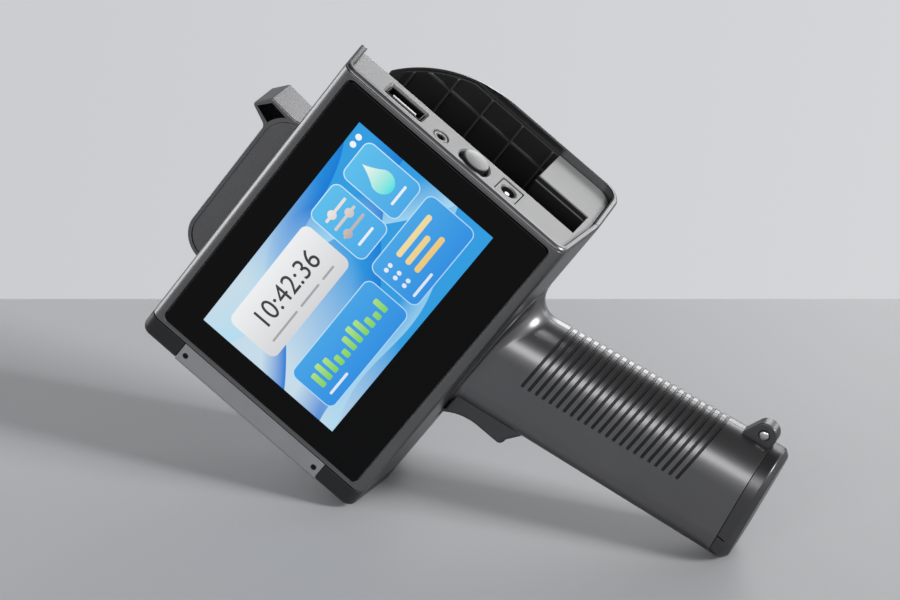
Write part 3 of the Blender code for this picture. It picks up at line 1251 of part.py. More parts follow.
def make_trigger():
    """The trigger with its pin, return spring and switch."""
    y0 = PARTING_Y - TRIGGER_W / 2
    y1 = PARTING_Y + TRIGGER_W / 2
    trigger = plate("trigger", [trigger_outline()], "Y", y0, y1)
    hole = rod("trigger_bore", "Y", TRIGGER_PIVOT_X, TRIGGER_PIVOT_Z, TRIGGER_PIN_R + FIT, y0 - OVERRUN,
               y1 + OVERRUN, SCREW_STEPS)
    cut(trigger, hole)
    for piece in (trigger, hole):
        set_origin(piece, TRIGGER_PIVOT_X, PARTING_Y, TRIGGER_PIVOT_Z)
    finish(trigger, "dark_plastic")
    pin_y0 = PARTING_Y - GRIP_T / 2 + GRIP_WALL + WALL / 2 + FIT
    pin_y1 = PARTING_Y + GRIP_T / 2 - GRIP_WALL - WALL / 2 - FIT
    pin = rod("trigger_pin", "Y", TRIGGER_PIVOT_X, TRIGGER_PIVOT_Z, TRIGGER_PIN_R, pin_y0, pin_y1,
              SCREW_STEPS)
    finish(pin, "bright_steel")
    switch = box("trigger_switch", TRIGGER_SWITCH_X, TRIGGER_SWITCH_X + TRIGGER_SWITCH_T,
                 PARTING_Y - TRIGGER_SWITCH_W / 2, PARTING_Y + TRIGGER_SWITCH_W / 2, TRIGGER_SWITCH_Z0,
                 TRIGGER_SWITCH_Z1)
    finish(switch, "black_plastic")
    room = TRIGGER_SWITCH_X - TRIGGER_BACK_X - 2 * (FIT + SPRING_WIRE_R)
    pitch = room / TRIGGER_SPRING_TURNS
    start = (TRIGGER_BACK_X + FIT + SPRING_WIRE_R, PARTING_Y, TRIGGER_SPRING_Z)
    spring("trigger_spring", "+X", start, TRIGGER_SPRING_R, pitch, TRIGGER_SPRING_TURNS, "bright_steel")


# Grip

def make_grip():
    """The end cap of the grip and the battery pack that stands on it."""
    plug = GRIP_WALL + FIT
    cap = loft("grip_end_cap", [
        slanted_ring(plug, SEAM_Z + END_PLUG_H),
        slanted_ring(plug, SEAM_Z - FIT),
        slanted_ring(0, SEAM_Z - FIT),
        slanted_ring(0, GRIP_END_Z + END_CHAMFER),
        slanted_ring(END_CHAMFER, GRIP_END_Z),
    ])
    finish(cap, "housing_plastic")
    reach = BATTERY_W / 2 - BATTERY_T / 2
    outline = arc(GRIP_MID_X + reach, PARTING_Y, BATTERY_T / 2, -90, 90, 2 * ARC_STEPS)
    outline += arc(GRIP_MID_X - reach, PARTING_Y, BATTERY_T / 2, 90, 270, 2 * ARC_STEPS)
    bottom = SEAM_Z + END_PLUG_H + FIT
    ends = [slanted_ring(0, bottom, outline), slanted_ring(0, bottom + BATTERY_L, outline)]
    battery = loft("battery_pack", ends)
    finish(battery, "battery_wrap")


def make_case_screws():
    """The screws that hold the two housing halves together, from the back."""
    for name, x, z, seat, length in CASE_SCREWS:
        screw_piece(name, "+Y", (x, seat + FIT, z), CASE_SCREW_HEAD_R, CASE_SCREW_HEAD_H, CASE_SCREW_R,
                    length, "black_steel")


# Rest pose

def evaluated_points(names):
    """The points of finished pieces, in the frame of the upright printer."""
    depsgraph = bpy.context.evaluated_depsgraph_get()
    points = []
    for name in names:
        obj = bpy.data.objects[name].evaluated_get(depsgraph)
        mesh = obj.to_mesh()
        points += [obj.matrix_world @ vertex.co for vertex in mesh.vertices]
        obj.to_mesh_clear()
    return points


def lay_down():
    """Tip the printer until the nose and the end of the grip stand level, then stand it on the floor."""
    bpy.context.view_layer.update()
    nose = evaluated_points(["nose_cap", "nose_plate", "encoder_roller"])
    grip = evaluated_points(["grip_end_cap"])
    low = math.radians(-85)
    high = math.radians(-25)
    for _ in range(50):
        angle = (low + high) / 2
        turn = Matrix.Rotation(angle, 3, "Y")
        nose_z = min((turn @ point).z for point in nose)
        grip_z = min((turn @ point).z for point in grip)
        if nose_z > grip_z:
            high = angle
        else:
            low = angle
    names = [obj.name for obj in PARTS.objects if obj.type == "MESH"]
    turn = Matrix.Rotation(angle, 3, "Y")
    placed = [turn @ point for point in evaluated_points(names)]
    spans = [(min(p[i] for p in placed), max(p[i] for p in placed)) for i in range(3)]
    middle = Vector((sum(spans[0]) / 2, sum(spans[1]) / 2, spans[2][0]))
    ROOT.rotation_euler = (0, angle, 0)
    ROOT.location = -middle
    bpy.context.view_layer.update()
    print(f"laid down at {math.degrees(angle):.3f} degrees, moved by {tuple(round(-v, 6) for v in middle)}")


make_housings()
make_screen()
make_nose()
make_rear_panel()
make_ports()
make_board()
make_bay()
make_latch()
make_trigger()
make_grip()
make_case_screws()
lay_down()
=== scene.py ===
"""Looks of the pistol-grip hand printer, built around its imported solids.

Every piece is shaped upright, in the frame that the printer is drawn in: +X from the print nose to the rear
face, +Y from the screen to the back and +Z up from the grip, with the origin in the middle of the screen
glass. Its mesh is then laid down into the row frame. All lengths are metres.
"""

from __future__ import annotations

import json
import logging
import math
from dataclasses import dataclass
from enum import Enum

import bmesh
import bpy
from mathutils import Matrix, Vector

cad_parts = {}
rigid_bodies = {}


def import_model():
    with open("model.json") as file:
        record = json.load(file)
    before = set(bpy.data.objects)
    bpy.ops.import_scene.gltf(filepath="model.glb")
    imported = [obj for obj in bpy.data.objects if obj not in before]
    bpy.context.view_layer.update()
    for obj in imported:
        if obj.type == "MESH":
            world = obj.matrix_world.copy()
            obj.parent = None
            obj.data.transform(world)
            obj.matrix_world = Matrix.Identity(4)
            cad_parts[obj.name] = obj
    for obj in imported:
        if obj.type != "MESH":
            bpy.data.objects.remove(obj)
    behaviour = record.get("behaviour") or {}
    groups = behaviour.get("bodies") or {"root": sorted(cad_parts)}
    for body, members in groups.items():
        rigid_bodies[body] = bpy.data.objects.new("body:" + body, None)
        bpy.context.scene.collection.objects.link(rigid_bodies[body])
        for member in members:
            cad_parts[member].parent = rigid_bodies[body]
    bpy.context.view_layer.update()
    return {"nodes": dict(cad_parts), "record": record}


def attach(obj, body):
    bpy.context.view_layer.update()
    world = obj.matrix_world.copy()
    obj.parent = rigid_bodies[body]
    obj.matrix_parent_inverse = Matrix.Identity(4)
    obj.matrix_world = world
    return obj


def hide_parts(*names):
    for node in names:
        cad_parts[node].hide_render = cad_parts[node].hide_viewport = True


LOG = logging.getLogger("hand_printer")
# Gap between pieces, reach of a tool past its work, fine edge, overlap of tools and one millimetre
FIT = 0.0003
OVERRUN = 0.004
EDGE = 0.0003
LAP = 0.0004
MM = 0.001
LEAN = math.radians(-56.882)
LAID_DOWN = Matrix.Translation((-0.038696, -0.03275, 0.092983)) @ Matrix.Rotation(LEAN, 4, "Y")
UPRIGHT = LAID_DOWN.inverted()

Outline = list[tuple[float, float]]
Point = tuple[float, float, float]
Colour = tuple[float, float, float]


class Rides(Enum):
    """The moving bodies that a piece can ride on."""

    BODY = "body"
    TRIGGER = "trigger"
    LATCH = "latch"
    BUTTON = "power_button"
    GUIDE = "guide_roller"
    ENCODER = "encoder_roller"


class Axis(Enum):
    """The direction that an outline is drawn out along."""

    X = "X"
    Y = "Y"
    Z = "Z"

    def matrix(self) -> Matrix:
        """Turns (u, v, along) into (x, y, z): u, v are y, z on X, x, z on Y and x, y on Z."""
        rows = {
            Axis.X: ((0, 0, 1), (1, 0, 0), (0, 1, 0)),
            Axis.Y: ((1, 0, 0), (0, 0, 1), (0, 1, 0)),
            Axis.Z: ((1, 0, 0), (0, 1, 0), (0, 0, 1)),
        }
        return Matrix(rows[self]).to_4x4()


class Cut(Enum):
    """How one solid is worked with another."""

    AWAY = "DIFFERENCE"
    ON = "UNION"
    WITHIN = "INTERSECT"


# Flat outlines

def arc(cx: float, cy: float, radius: float, start: float, end: float, steps: int = 12) -> Outline:
    """Points on a circular arc.

    Args:
        cx: Middle, first coordinate.
        cy: Middle, second coordinate.
        radius: Radius of the arc.
        start: First angle in degrees.
        end: Last angle in degrees.
        steps: Number of segments.

    Returns:
        The points, with both ends.
    """
    angles = [math.radians(start + (end - start) * i / steps) for i in range(steps + 1)]
    return [(cx + radius * math.cos(a), cy + radius * math.sin(a)) for a in angles]


def circle(cx: float, cy: float, radius: float, steps: int = 40) -> Outline:
    """Points round a full circle."""
    return arc(cx, cy, radius, 0, 360, steps)[:-1]


def rounded(x0: float, x1: float, y0: float, y1: float, radius: float, steps: int = 6) -> Outline:
    """A rectangle with round corners.

    Args:
        x0: Left side.
        x1: Right side.
        y0: Lower side.
        y1: Upper side.
        radius: Radius of the corners.
        steps: Segments in each corner.

    Returns:
        The outline, anticlockwise.
    """
    points = arc(x1 - radius, y0 + radius, radius, -90, 0, steps)
    points += arc(x1 - radius, y1 - radius, radius, 0, 90, steps)
    points += arc(x0 + radius, y1 - radius, radius, 90, 180, steps)
    return points + arc(x0 + radius, y0 + radius, radius, 180, 270, steps)


def rectangle(x0: float, x1: float, y0: float, y1: float) -> Outline:
    """A rectangle with sharp corners, anticlockwise."""
    return [(x0, y0), (x1, y0), (x1, y1), (x0, y1)]


def quadratic(start: tuple, control: tuple, end: tuple, steps: int = 12) -> Outline:
    """Points on a quadratic curve.

    Args:
        start: First point, which isn't returned.
        control: The point that pulls the curve.
        end: Last point.
        steps: Number of segments.

    Returns:
        The points after the first one.
    """
    points = []
    for i in range(1, steps + 1):
        t = i / steps
        weights = ((1 - t) ** 2, 2 * t * (1 - t), t * t)
        points.append(tuple(sum(w * p[k] for w, p in zip(weights, (start, control, end))) for k in (0, 1)))
    return points


def inset(outline: Outline, distance: float) -> Outline:
    """Draws a closed outline in by a distance, or out where it is negative.

    Args:
        outline: The closed outline.
        distance: How far each side moves inwards.

    Returns:
        As many points, with mitred corners.
    """
    pairs = zip(outline, outline[1:] + outline[:1])
    turn = math.copysign(1.0, sum(a[0] * b[1] - b[0] * a[1] for a, b in pairs))
    moved = []
    for i, here in enumerate(outline):
        before = outline[i - 1]
        after = outline[(i + 1) % len(outline)]
        one = Vector((here[0] - before[0], here[1] - before[1])).normalized()
        two = Vector((after[0] - here[0], after[1] - here[1])).normalized()
        first = Vector((-one.y, one.x)) * turn
        second = Vector((-two.y, two.x)) * turn
        shift = (first + second) * (distance / max(1 + first.dot(second), 0.25))
        moved.append((here[0] + shift.x, here[1] + shift.y))
    return moved


def soft_ends(start: float, end: float, first: float, last: float, steps: int = 4) -> Outline:
    """Stations along a drawn-out piece whose two ends have round edges.

    Args:
        start: Where the piece starts.
        end: Where it ends.
        first: Edge radius at the start.
        last: Edge radius at the end.
        steps: Segments in each edge.

    Returns:
        (place, inset) pairs from start to end.
    """
    turns = [math.pi / 2 * i / steps for i in range(steps + 1)]
    curve = [(1 - math.cos(t), 1 - math.sin(t)) for t in turns]
    head = [(start + first * along, first * draw) for along, draw in curve] if first else [(start, 0.0)]
    tail = [(end - last * along, last * draw) for along, draw in curve] if last else [(end, 0.0)]
    return head + tail[::-1]


def placed(outline: Outline, turn: Matrix, along: float) -> list[Point]:
    """An outline as a ring of points, at a place along the axis that a matrix gives it."""
    return [tuple(turn @ Vector((u, v, along))) for u, v in outline]


# Meshes

def skin(rings: list[list[Point]], looped: bool = False) -> bpy.types.Mesh:
    """A closed skin through rings of points.

    Args:
        rings: Rings with as many points each.
        looped: True if the last ring joins the first one, as round a band; otherwise both ends are capped.

    Returns:
        A new mesh whose faces point outwards.
    """
    bm = bmesh.new()
    levels = [[bm.verts.new(point) for point in ring] for ring in rings]
    pairs = list(zip(levels, levels[1:]))
    if looped:
        pairs.append((levels[-1], levels[0]))
    else:
        bm.faces.new(levels[0])
        bm.faces.new(levels[-1])
    count = len(levels[0])
    for lower, upper in pairs:
        for i in range(count):
            bm.faces.new((lower[i], lower[(i + 1) % count], upper[(i + 1) % count], upper[i]))
    bmesh.ops.remove_doubles(bm, verts=bm.verts, dist=1e-7)
    bmesh.ops.recalc_face_normals(bm, faces=bm.faces)
    mesh = bpy.data.meshes.new("skin")
    bm.to_mesh(mesh)
    bm.free()
    return mesh


def prism(outline: Outline, axis: Axis, stations: Outline) -> bpy.types.Mesh:
    """An outline drawn out along an axis.

    Args:
        outline: The closed outline.
        axis: The direction.
        stations: (place, inset) pairs along it.

    Returns:
        A closed mesh.
    """
    turn = axis.matrix()
    return skin([placed(inset(outline, draw), turn, place) for place, draw in stations])


def bar(x0: float, x1: float, y0: float, y1: float, z0: float, z1: float) -> bpy.types.Mesh:
    """A plain box between two corners."""
    return prism(rectangle(x0, x1, y0, y1), Axis.Z, [(z0, 0.0), (z1, 0.0)])


def band(outline: Outline, width: float, axis: Axis, start: float, end: float) -> bpy.types.Mesh:
    """A flat border of one width that runs along an outline.

    Args:
        outline: The outer edge.
        width: Width of the border.
        axis: The direction of its thickness.
        start: Where its thickness starts.
        end: Where it ends.

    Returns:
        A closed mesh.
    """
    turn = axis.matrix()
    inner = inset(outline, width)
    loops = ((outline, start), (inner, start), (inner, end), (outline, end))
    return skin([placed(loop, turn, at) for loop, at in loops], looped=True)


def lathe(profile: Outline, axis: Axis, place: Point, steps: int = 64) -> bpy.types.Mesh:
    """A turned piece.

    Args:
        profile: (radius, height) points, from one pole or rim to the other.
        axis: The axis that it turns about.
        place: Where height 0 is.
        steps: Segments round the axis.

    Returns:
        A closed mesh.
    """
    turn = Matrix.Translation(place) @ axis.matrix()
    pole = 1e-9
    return skin([placed(circle(0, 0, max(r, pole), steps), turn, height) for r, height in profile])


def joined(*meshes: bpy.types.Mesh) -> bpy.types.Mesh:
    """Puts the shells of several meshes into one mesh."""
    bm = bmesh.new()
    for mesh in meshes:
        bm.from_mesh(mesh)
    whole = bpy.data.meshes.new("joined")
    bm.to_mesh(whole)
    bm.free()
    return whole


def stand_in(mesh: bpy.types.Mesh) -> bpy.types.Object:
    """Puts a mesh into the scene for a moment, so that modifiers can work on it."""
    obj = bpy.data.objects.new("stand_in", mesh)
    bpy.context.scene.collection.objects.link(obj)
    return obj


def evaluated(obj: bpy.types.Object) -> bpy.types.Mesh:
    """The mesh that an object's modifiers make, as a plain mesh."""
    bpy.context.view_layer.update()
    graph = bpy.context.evaluated_depsgraph_get()
    return bpy.data.meshes.new_from_object(obj.evaluated_get(graph))


def worked(mesh: bpy.types.Mesh, how: Cut, *tools: bpy.types.Mesh) -> bpy.types.Mesh:
    """Works a solid with other solids, one after another.

    Args:
        mesh: The solid that is worked.
        how: What each tool does to it.
        tools: The other solids.

    Returns:
        The finished solid.
    """
    piece = stand_in(mesh)
    helpers = [stand_in(tool) for tool in tools]
    for helper in helpers:
        step = piece.modifiers.new("work", "BOOLEAN")
        step.operation = how.value
        step.solver = "EXACT"
        step.object = helper
    result = evaluated(piece)
    for obj in [piece, *helpers]:
        bpy.data.objects.remove(obj, do_unlink=True)
    return result


def shaded(mesh: bpy.types.Mesh, angle: float) -> bpy.types.Mesh:
    """Smooth shading with sharp edges past an angle, and large faces kept flat.

    Args:
        mesh: The finished shape.
        angle: The angle in degrees.

    Returns:
        The mesh with its normals set.
    """
    mesh.shade_smooth()
    mesh.set_sharp_from_angle(angle=math.radians(angle))
    obj = stand_in(mesh)
    weigh = obj.modifiers.new("weigh", "WEIGHTED_NORMAL")
    weigh.mode = "FACE_AREA"
    weigh.weight = 100
    weigh.thresh = 0.00002
    weigh.keep_sharp = True
    result = evaluated(obj)
    bpy.data.objects.remove(obj, do_unlink=True)
    return result


# Node trees

class Nodes:
    """A node tree that is put together node by node."""

    def __init__(self, tree: bpy.types.NodeTree) -> None:
        """Wraps a tree."""
        self.tree = tree

    def node(self, kind: str, settings: dict | None = None, links: dict | None = None) -> bpy.types.Node:
        """Adds a node.

        Args:
            kind: Type of the node.
            settings: Properties that are set first.
            links: Numbers, colours, sockets or Values for its inputs, by name or number.

        Returns:
            The node.
        """
        made = self.tree.nodes.new(kind)
        for label, value in (settings or {}).items():
            setattr(made, label, value)
        for label, value in (links or {}).items():
            self.feed(made.inputs[label], value)
        return made

    def feed(self, socket: bpy.types.NodeSocket, value: object) -> None:
        """Links a socket or sets its value.

        Args:
            socket: The input.
            value: What feeds it.
        """
        if isinstance(value, Value):
            value = value.socket
        if isinstance(value, bpy.types.NodeSocket):
            self.tree.links.new(value, socket)
        elif isinstance(value, tuple) and len(value) == 3 and socket.type == "RGBA":
            socket.default_value = (*value, 1.0)
        else:
            socket.default_value = value

    def mix(self, share: object, first: object, second: object) -> bpy.types.NodeSocket:
        """Mixes two colours.

        Args:
            share: Share of the second colour.
            first: The first colour.
            second: The second colour.

        Returns:
            The mixed colour.
        """
        made = self.node("ShaderNodeMix", {"data_type": "RGBA", "clamp_factor": True}, {"Factor": share})
        colours = [socket for socket in made.inputs if socket.type == "RGBA"]
        self.feed(colours[0], first)
        self.feed(colours[1], second)
        return next(socket for socket in made.outputs if socket.type == "RGBA")


class Repeat(Nodes):
    """A Geometry Nodes tree with named sizes that makes a repeated shape."""

    def __init__(self, name: str, sizes: dict[str, float | int]) -> None:
        """Opens a tree.

        Args:
            name: Name of the tree.
            sizes: Its inputs and their values.
        """
        super().__init__(bpy.data.node_groups.new(name, "GeometryNodeTree"))
        self.sizes = sizes
        self.tree.interface.new_socket("Geometry", in_out="INPUT", socket_type="NodeSocketGeometry")
        self.sockets = {}
        for label, value in sizes.items():
            kind = "NodeSocketInt" if isinstance(value, int) else "NodeSocketFloat"
            self.sockets[label] = self.tree.interface.new_socket(label, in_out="INPUT", socket_type=kind)
        self.tree.interface.new_socket("Geometry", in_out="OUTPUT", socket_type="NodeSocketGeometry")
        self.inputs = self.tree.nodes.new("NodeGroupInput")

    def size(self, label: str) -> bpy.types.NodeSocket:
        """The socket of a named size."""
        return self.inputs.outputs[label]

    def start(self) -> bpy.types.NodeSocket:
        """The geometry that the tree starts from."""
        return self.inputs.outputs["Geometry"]

    def times(self, label: str, factor: float) -> bpy.types.NodeSocket:
        """A named size times a factor."""
        links = {0: self.size(label), 1: factor}
        return self.node("ShaderNodeMath", {"operation": "MULTIPLY"}, links).outputs[0]

    def vector(self, x: object = 0.0, y: object = 0.0, z: object = 0.0) -> bpy.types.NodeSocket:
        """A vector of three sockets or numbers."""
        return self.node("ShaderNodeCombineXYZ", None, {"X": x, "Y": y, "Z": z}).outputs[0]

    def spread(self, shape: bpy.types.NodeSocket, points: bpy.types.NodeSocket) -> bpy.types.NodeSocket:
        """Puts a shape on every point."""
        links = {"Points": points, "Instance": shape}
        return self.node("GeometryNodeInstanceOnPoints", None, links).outputs[0]

    def made(self, shapes: list, material: bpy.types.Material,
             base: bpy.types.Mesh | None = None) -> bpy.types.Mesh:
        """Closes the tree and runs it.

        Args:
            shapes: Sockets of the shapes that are kept.
            material: Their material.
            base: The mesh that the tree starts from.

        Returns:
            The shapes as one plain mesh.
        """
        gather = self.node("GeometryNodeJoinGeometry")
        for shape in shapes:
            self.feed(gather.inputs[0], shape)
        real = self.node("GeometryNodeRealizeInstances", None, {"Geometry": gather.outputs[0]})
        links = {"Geometry": real.outputs[0], "Material": material}
        paint = self.node("GeometryNodeSetMaterial", None, links)
        self.node("NodeGroupOutput", None, {0: paint.outputs[0]})
        obj = stand_in(base or bpy.data.meshes.new("start"))
        step = obj.modifiers.new("repeat", "NODES")
        step.node_group = self.tree
        for label, value in self.sizes.items():
            step[self.sockets[label].identifier] = value
        mesh = evaluated(obj)
        bpy.data.objects.remove(obj, do_unlink=True)
        return mesh


# Shaders

class Value:
    """A number that changes over a surface, for use in expressions."""

    def __init__(self, shade: Shade, socket: bpy.types.NodeSocket) -> None:
        """Wraps a socket of a material."""
        self.shade = shade
        self.socket = socket

    def math(self, operation: str, first: object, second: object = 0.0, clamp: bool = False) -> Value:
        """Adds one Math node.

        Args:
            operation: What the node does.
            first: First value.
            second: Second value.
            clamp: True to keep the result from 0 to 1.

        Returns:
            The result.
        """
        settings = {"operation": operation, "use_clamp": clamp}
        made = self.shade.node("ShaderNodeMath", settings, {0: first, 1: second})
        return Value(self.shade, made.outputs[0])

    def __add__(self, other: object) -> Value:
        """Sum."""
        return self.math("ADD", self, other)

    __radd__ = __add__

    def __sub__(self, other: object) -> Value:
        """Difference."""
        return self.math("SUBTRACT", self, other)

    def __rsub__(self, other: object) -> Value:
        """Difference from a number."""
        return self.math("SUBTRACT", other, self)

    def __mul__(self, other: object) -> Value:
        """Product."""
        return self.math("MULTIPLY", self, other)

    __rmul__ = __mul__

    def __truediv__(self, other: object) -> Value:
        """Quotient."""
        return self.math("DIVIDE", self, other)

    def __gt__(self, other: object) -> Value:
        """1 where it is greater."""
        return self.math("GREATER_THAN", self, other)

    def wave(self) -> Value:
        """Sine."""
        return self.math("SINE", self)

    def clamped(self) -> Value:
        """Kept from 0 to 1."""
        return self.math("ADD", self, 0.0, clamp=True)


class Shade(Nodes):
    """A material that is put together from nodes."""

    def __init__(self, name: str) -> None:
        """Opens a material with one Principled shader."""
        self.material = bpy.data.materials.new(name)
        self.material.use_nodes = True
        super().__init__(self.material.node_tree)
        self.shader = self.tree.nodes["Principled BSDF"]

    def here(self) -> bpy.types.NodeSocket:
        """Place on the piece in the upright frame, in metres."""
        spot = self.node("ShaderNodeTexCoord").outputs["Object"]
        turn = {"Location": UPRIGHT.to_translation(), "Rotation": UPRIGHT.to_euler()}
        return self.node("ShaderNodeMapping", {"vector_type": "POINT"}, {"Vector": spot, **turn}).outputs[0]

    def stretched(self, scale: Point) -> bpy.types.NodeSocket:
        """Place in the upright frame, scaled on each axis."""
        links = {0: self.here(), 1: scale}
        return self.node("ShaderNodeVectorMath", {"operation": "MULTIPLY"}, links).outputs[0]

    def parts(self) -> tuple[Value, Value, Value]:
        """X, Y and Z in the upright frame, in millimetres."""
        split = self.node("ShaderNodeSeparateXYZ", None, {0: self.stretched((1000, 1000, 1000))})
        return tuple(Value(self, socket) for socket in split.outputs)

    def noise(self, scale: float, detail: float = 2.0, stretch: Point = (1, 1, 1),
              roughness: float = 0.5) -> Value:
        """Even noise around 0.5.

        Args:
            scale: Cells in a metre.
            detail: Octaves.
            stretch: Scale on each upright axis.
            roughness: Weight of the finer octaves.

        Returns:
            The noise.
        """
        links = {"Vector": self.stretched(stretch), "Scale": scale, "Detail": detail, "Roughness": roughness}
        made = self.node("ShaderNodeTexNoise", {"noise_dimensions": "3D"}, links)
        return Value(self, made.outputs["Fac"])

    def bump(self, height: Value, depth: float) -> bpy.types.NodeSocket:
        """A fine relief: the height's unit is the depth in metres."""
        links = {"Height": height, "Distance": depth, "Strength": 1.0}
        return self.node("ShaderNodeBump", None, links).outputs["Normal"]

    def dress(self, **values: object) -> bpy.types.Material:
        """Sets the shader's sockets, with spaces in their names written as underscores.

        Args:
            values: Constants or what changes over the surface.

        Returns:
            The material.
        """
        for label, value in values.items():
            self.feed(self.shader.inputs[label.replace("_", " ")], value)
        return self.material

    def glow(self, colour: bpy.types.NodeSocket) -> bpy.types.Material:
        """Dresses a lit patch of the display, seen through the cover glass."""
        return self.dress(Base_Color=(0.0, 0.0, 0.0), Roughness=0.10, Specular_IOR_Level=0.22,
                          Emission_Color=colour, Emission_Strength=1.0)


def darker(colour: Colour, share: float) -> Colour:
    """A colour times a share."""
    return tuple(channel * share for channel in colour)


@dataclass(frozen=True)
class Moulding:
    """Moulded plastic with a fine spark-eroded grain, or a satin lacquer without one."""

    name: str
    colour: Colour
    roughness: float = 0.42
    grain: float = 0.0004
    depth: float = 0.000002
    metallic: float = 0.0
    specular: float = 0.5
    uneven: float = 0.10
    edge_tint: float = 1.0

    def material(self) -> bpy.types.Material:
        """Makes the material."""
        shade = Shade(self.name)
        cloud = shade.noise(38.0, 3.0)
        fine = shade.noise(1.0 / self.grain, 2.0)
        low = darker(self.colour, 1.0 - self.uneven)
        high = darker(self.colour, 1.0 + self.uneven)
        relief = {"Normal": shade.bump(fine, self.depth)} if self.depth else {}
        return shade.dress(
            Base_Color=shade.mix(cloud, low, high),
            Roughness=self.roughness - 0.03 + cloud * 0.05 + fine * 0.01,
            Metallic=self.metallic,
            Specular_IOR_Level=self.specular,
            Specular_Tint=(self.edge_tint, self.edge_tint, self.edge_tint),
            **relief,
        )


class Lay(Enum):
    """Which way a metal is worked."""

    BLASTED = (1.0, 1.0, 1.0)
    ALONG_X = (0.03, 1.0, 1.0)


@dataclass(frozen=True)
class Metal:
    """Worked metal: blasted evenly or brushed one way."""

    name: str
    colour: Colour
    roughness: float = 0.35
    lay: Lay = Lay.BLASTED
    pitch: float = 0.00012
    depth: float = 0.000004

    def material(self) -> bpy.types.Material:
        """Makes the material."""
        shade = Shade(self.name)
        lines = shade.noise(1.0 / self.pitch, 2.0, self.lay.value)
        cloud = shade.noise(60.0, 3.0)
        return shade.dress(
            Base_Color=shade.mix(cloud, darker(self.colour, 0.9), darker(self.colour, 1.08)),
            Roughness=self.roughness - 0.08 + lines * 0.10 + cloud * 0.06,
            Metallic=1.0,
            Normal=shade.bump(lines, self.depth),
        )


@dataclass(frozen=True)
class CoverGlass:
    """Dark cover glass with faint wipe marks."""

    name: str
    colour: Colour
    roughness: float = 0.06

    def material(self) -> bpy.types.Material:
        """Makes the material."""
        shade = Shade(self.name)
        smear = shade.noise(55.0, 4.0, (0.5, 1.0, 1.6), 0.6)
        return shade.dress(
            Base_Color=shade.mix(smear, darker(self.colour, 0.9), darker(self.colour, 1.1)),
            Roughness=self.roughness + smear * 0.05,
            Specular_IOR_Level=0.16,
        )


@dataclass(frozen=True)
class Laminate:
    """Green circuit board with copper tracks under its resist."""

    name: str
    colour: Colour
    track: Colour = (0.03, 0.16, 0.07)

    def material(self) -> bpy.types.Material:
        """Makes the material."""
        shade = Shade(self.name)
        _, _, z = shade.parts()
        wander = shade.noise(90.0, 1.0)
        lines = ((z * 4.0 + wander * 6.0).wave() > 0.55) * 0.8
        return shade.dress(
            Base_Color=shade.mix(lines, self.colour, self.track),
            Roughness=0.38 + wander * 0.1,
            Normal=shade.bump(lines, 0.00003),
        )


@dataclass(frozen=True)
class Lit:
    """A lit patch of the display: two colours, blended along its height, seen through the cover glass."""

    name: str
    low: Colour
    high: Colour
    z0: float
    z1: float

    def material(self) -> bpy.types.Material:
        """Makes the material."""
        shade = Shade(self.name)
        _, _, z = shade.parts()
        rise = ((z - self.z0) / (self.z1 - self.z0)).clamped()
        weave = shade.noise(2600.0, 0.0) * 0.05
        return shade.glow(shade.mix(rise + weave - 0.025, self.low, self.high))


@dataclass(frozen=True)
class Wallpaper:
    """The display's backdrop: a pale sky that sweeps into blue, with waves across it."""

    name: str
    pale: Colour = (0.56, 0.71, 0.81)
    sky: Colour = (0.028, 0.33, 0.74)
    deep: Colour = (0.004, 0.19, 0.66)
    crest: Colour = (0.42, 0.72, 0.88)

    def wave(self, x: Value, z: Value, level: float, slope: float, swing: float, width: float) -> Value:
        """A wave with a sharp crest below and a soft fade above it.

        Args:
            x: Place across, in millimetres.
            z: Place up, in millimetres.
            level: Height of the crest in the middle of the screen.
            slope: Rise of the crest across the screen.
            swing: How far the crest swings up and down.
            width: How far the wave fades upwards.

        Returns:
            The share of the wave's colour.
        """
        above = z - x * slope - (x * 0.062 + level * 0.1).wave() * swing - level
        return (above * 3.0).clamped() * (1.0 - above / width).clamped()

    def material(self) -> bpy.types.Material:
        """Makes the material."""
        shade = Shade(self.name)
        x, _, z = shade.parts()
        sweep = ((z * 0.5 - x + 8.0) / 52.0).clamped()
        colour = shade.mix(sweep, self.sky, self.pale)
        colour = shade.mix(self.wave(x, z, 22.0, 0.42, 5.0, 12.0), colour, self.deep)
        colour = shade.mix(self.wave(x, z, 12.0, -0.30, 7.0, 16.0) * 0.8, colour, self.crest)
        colour = shade.mix(self.wave(x, z, -9.0, 0.36, 6.0, 14.0) * 0.9, colour, self.deep)
        colour = shade.mix(self.wave(x, z, -24.0, 0.16, 4.0, 9.0) * 0.7, colour, self.crest)
        return shade.glow(colour)


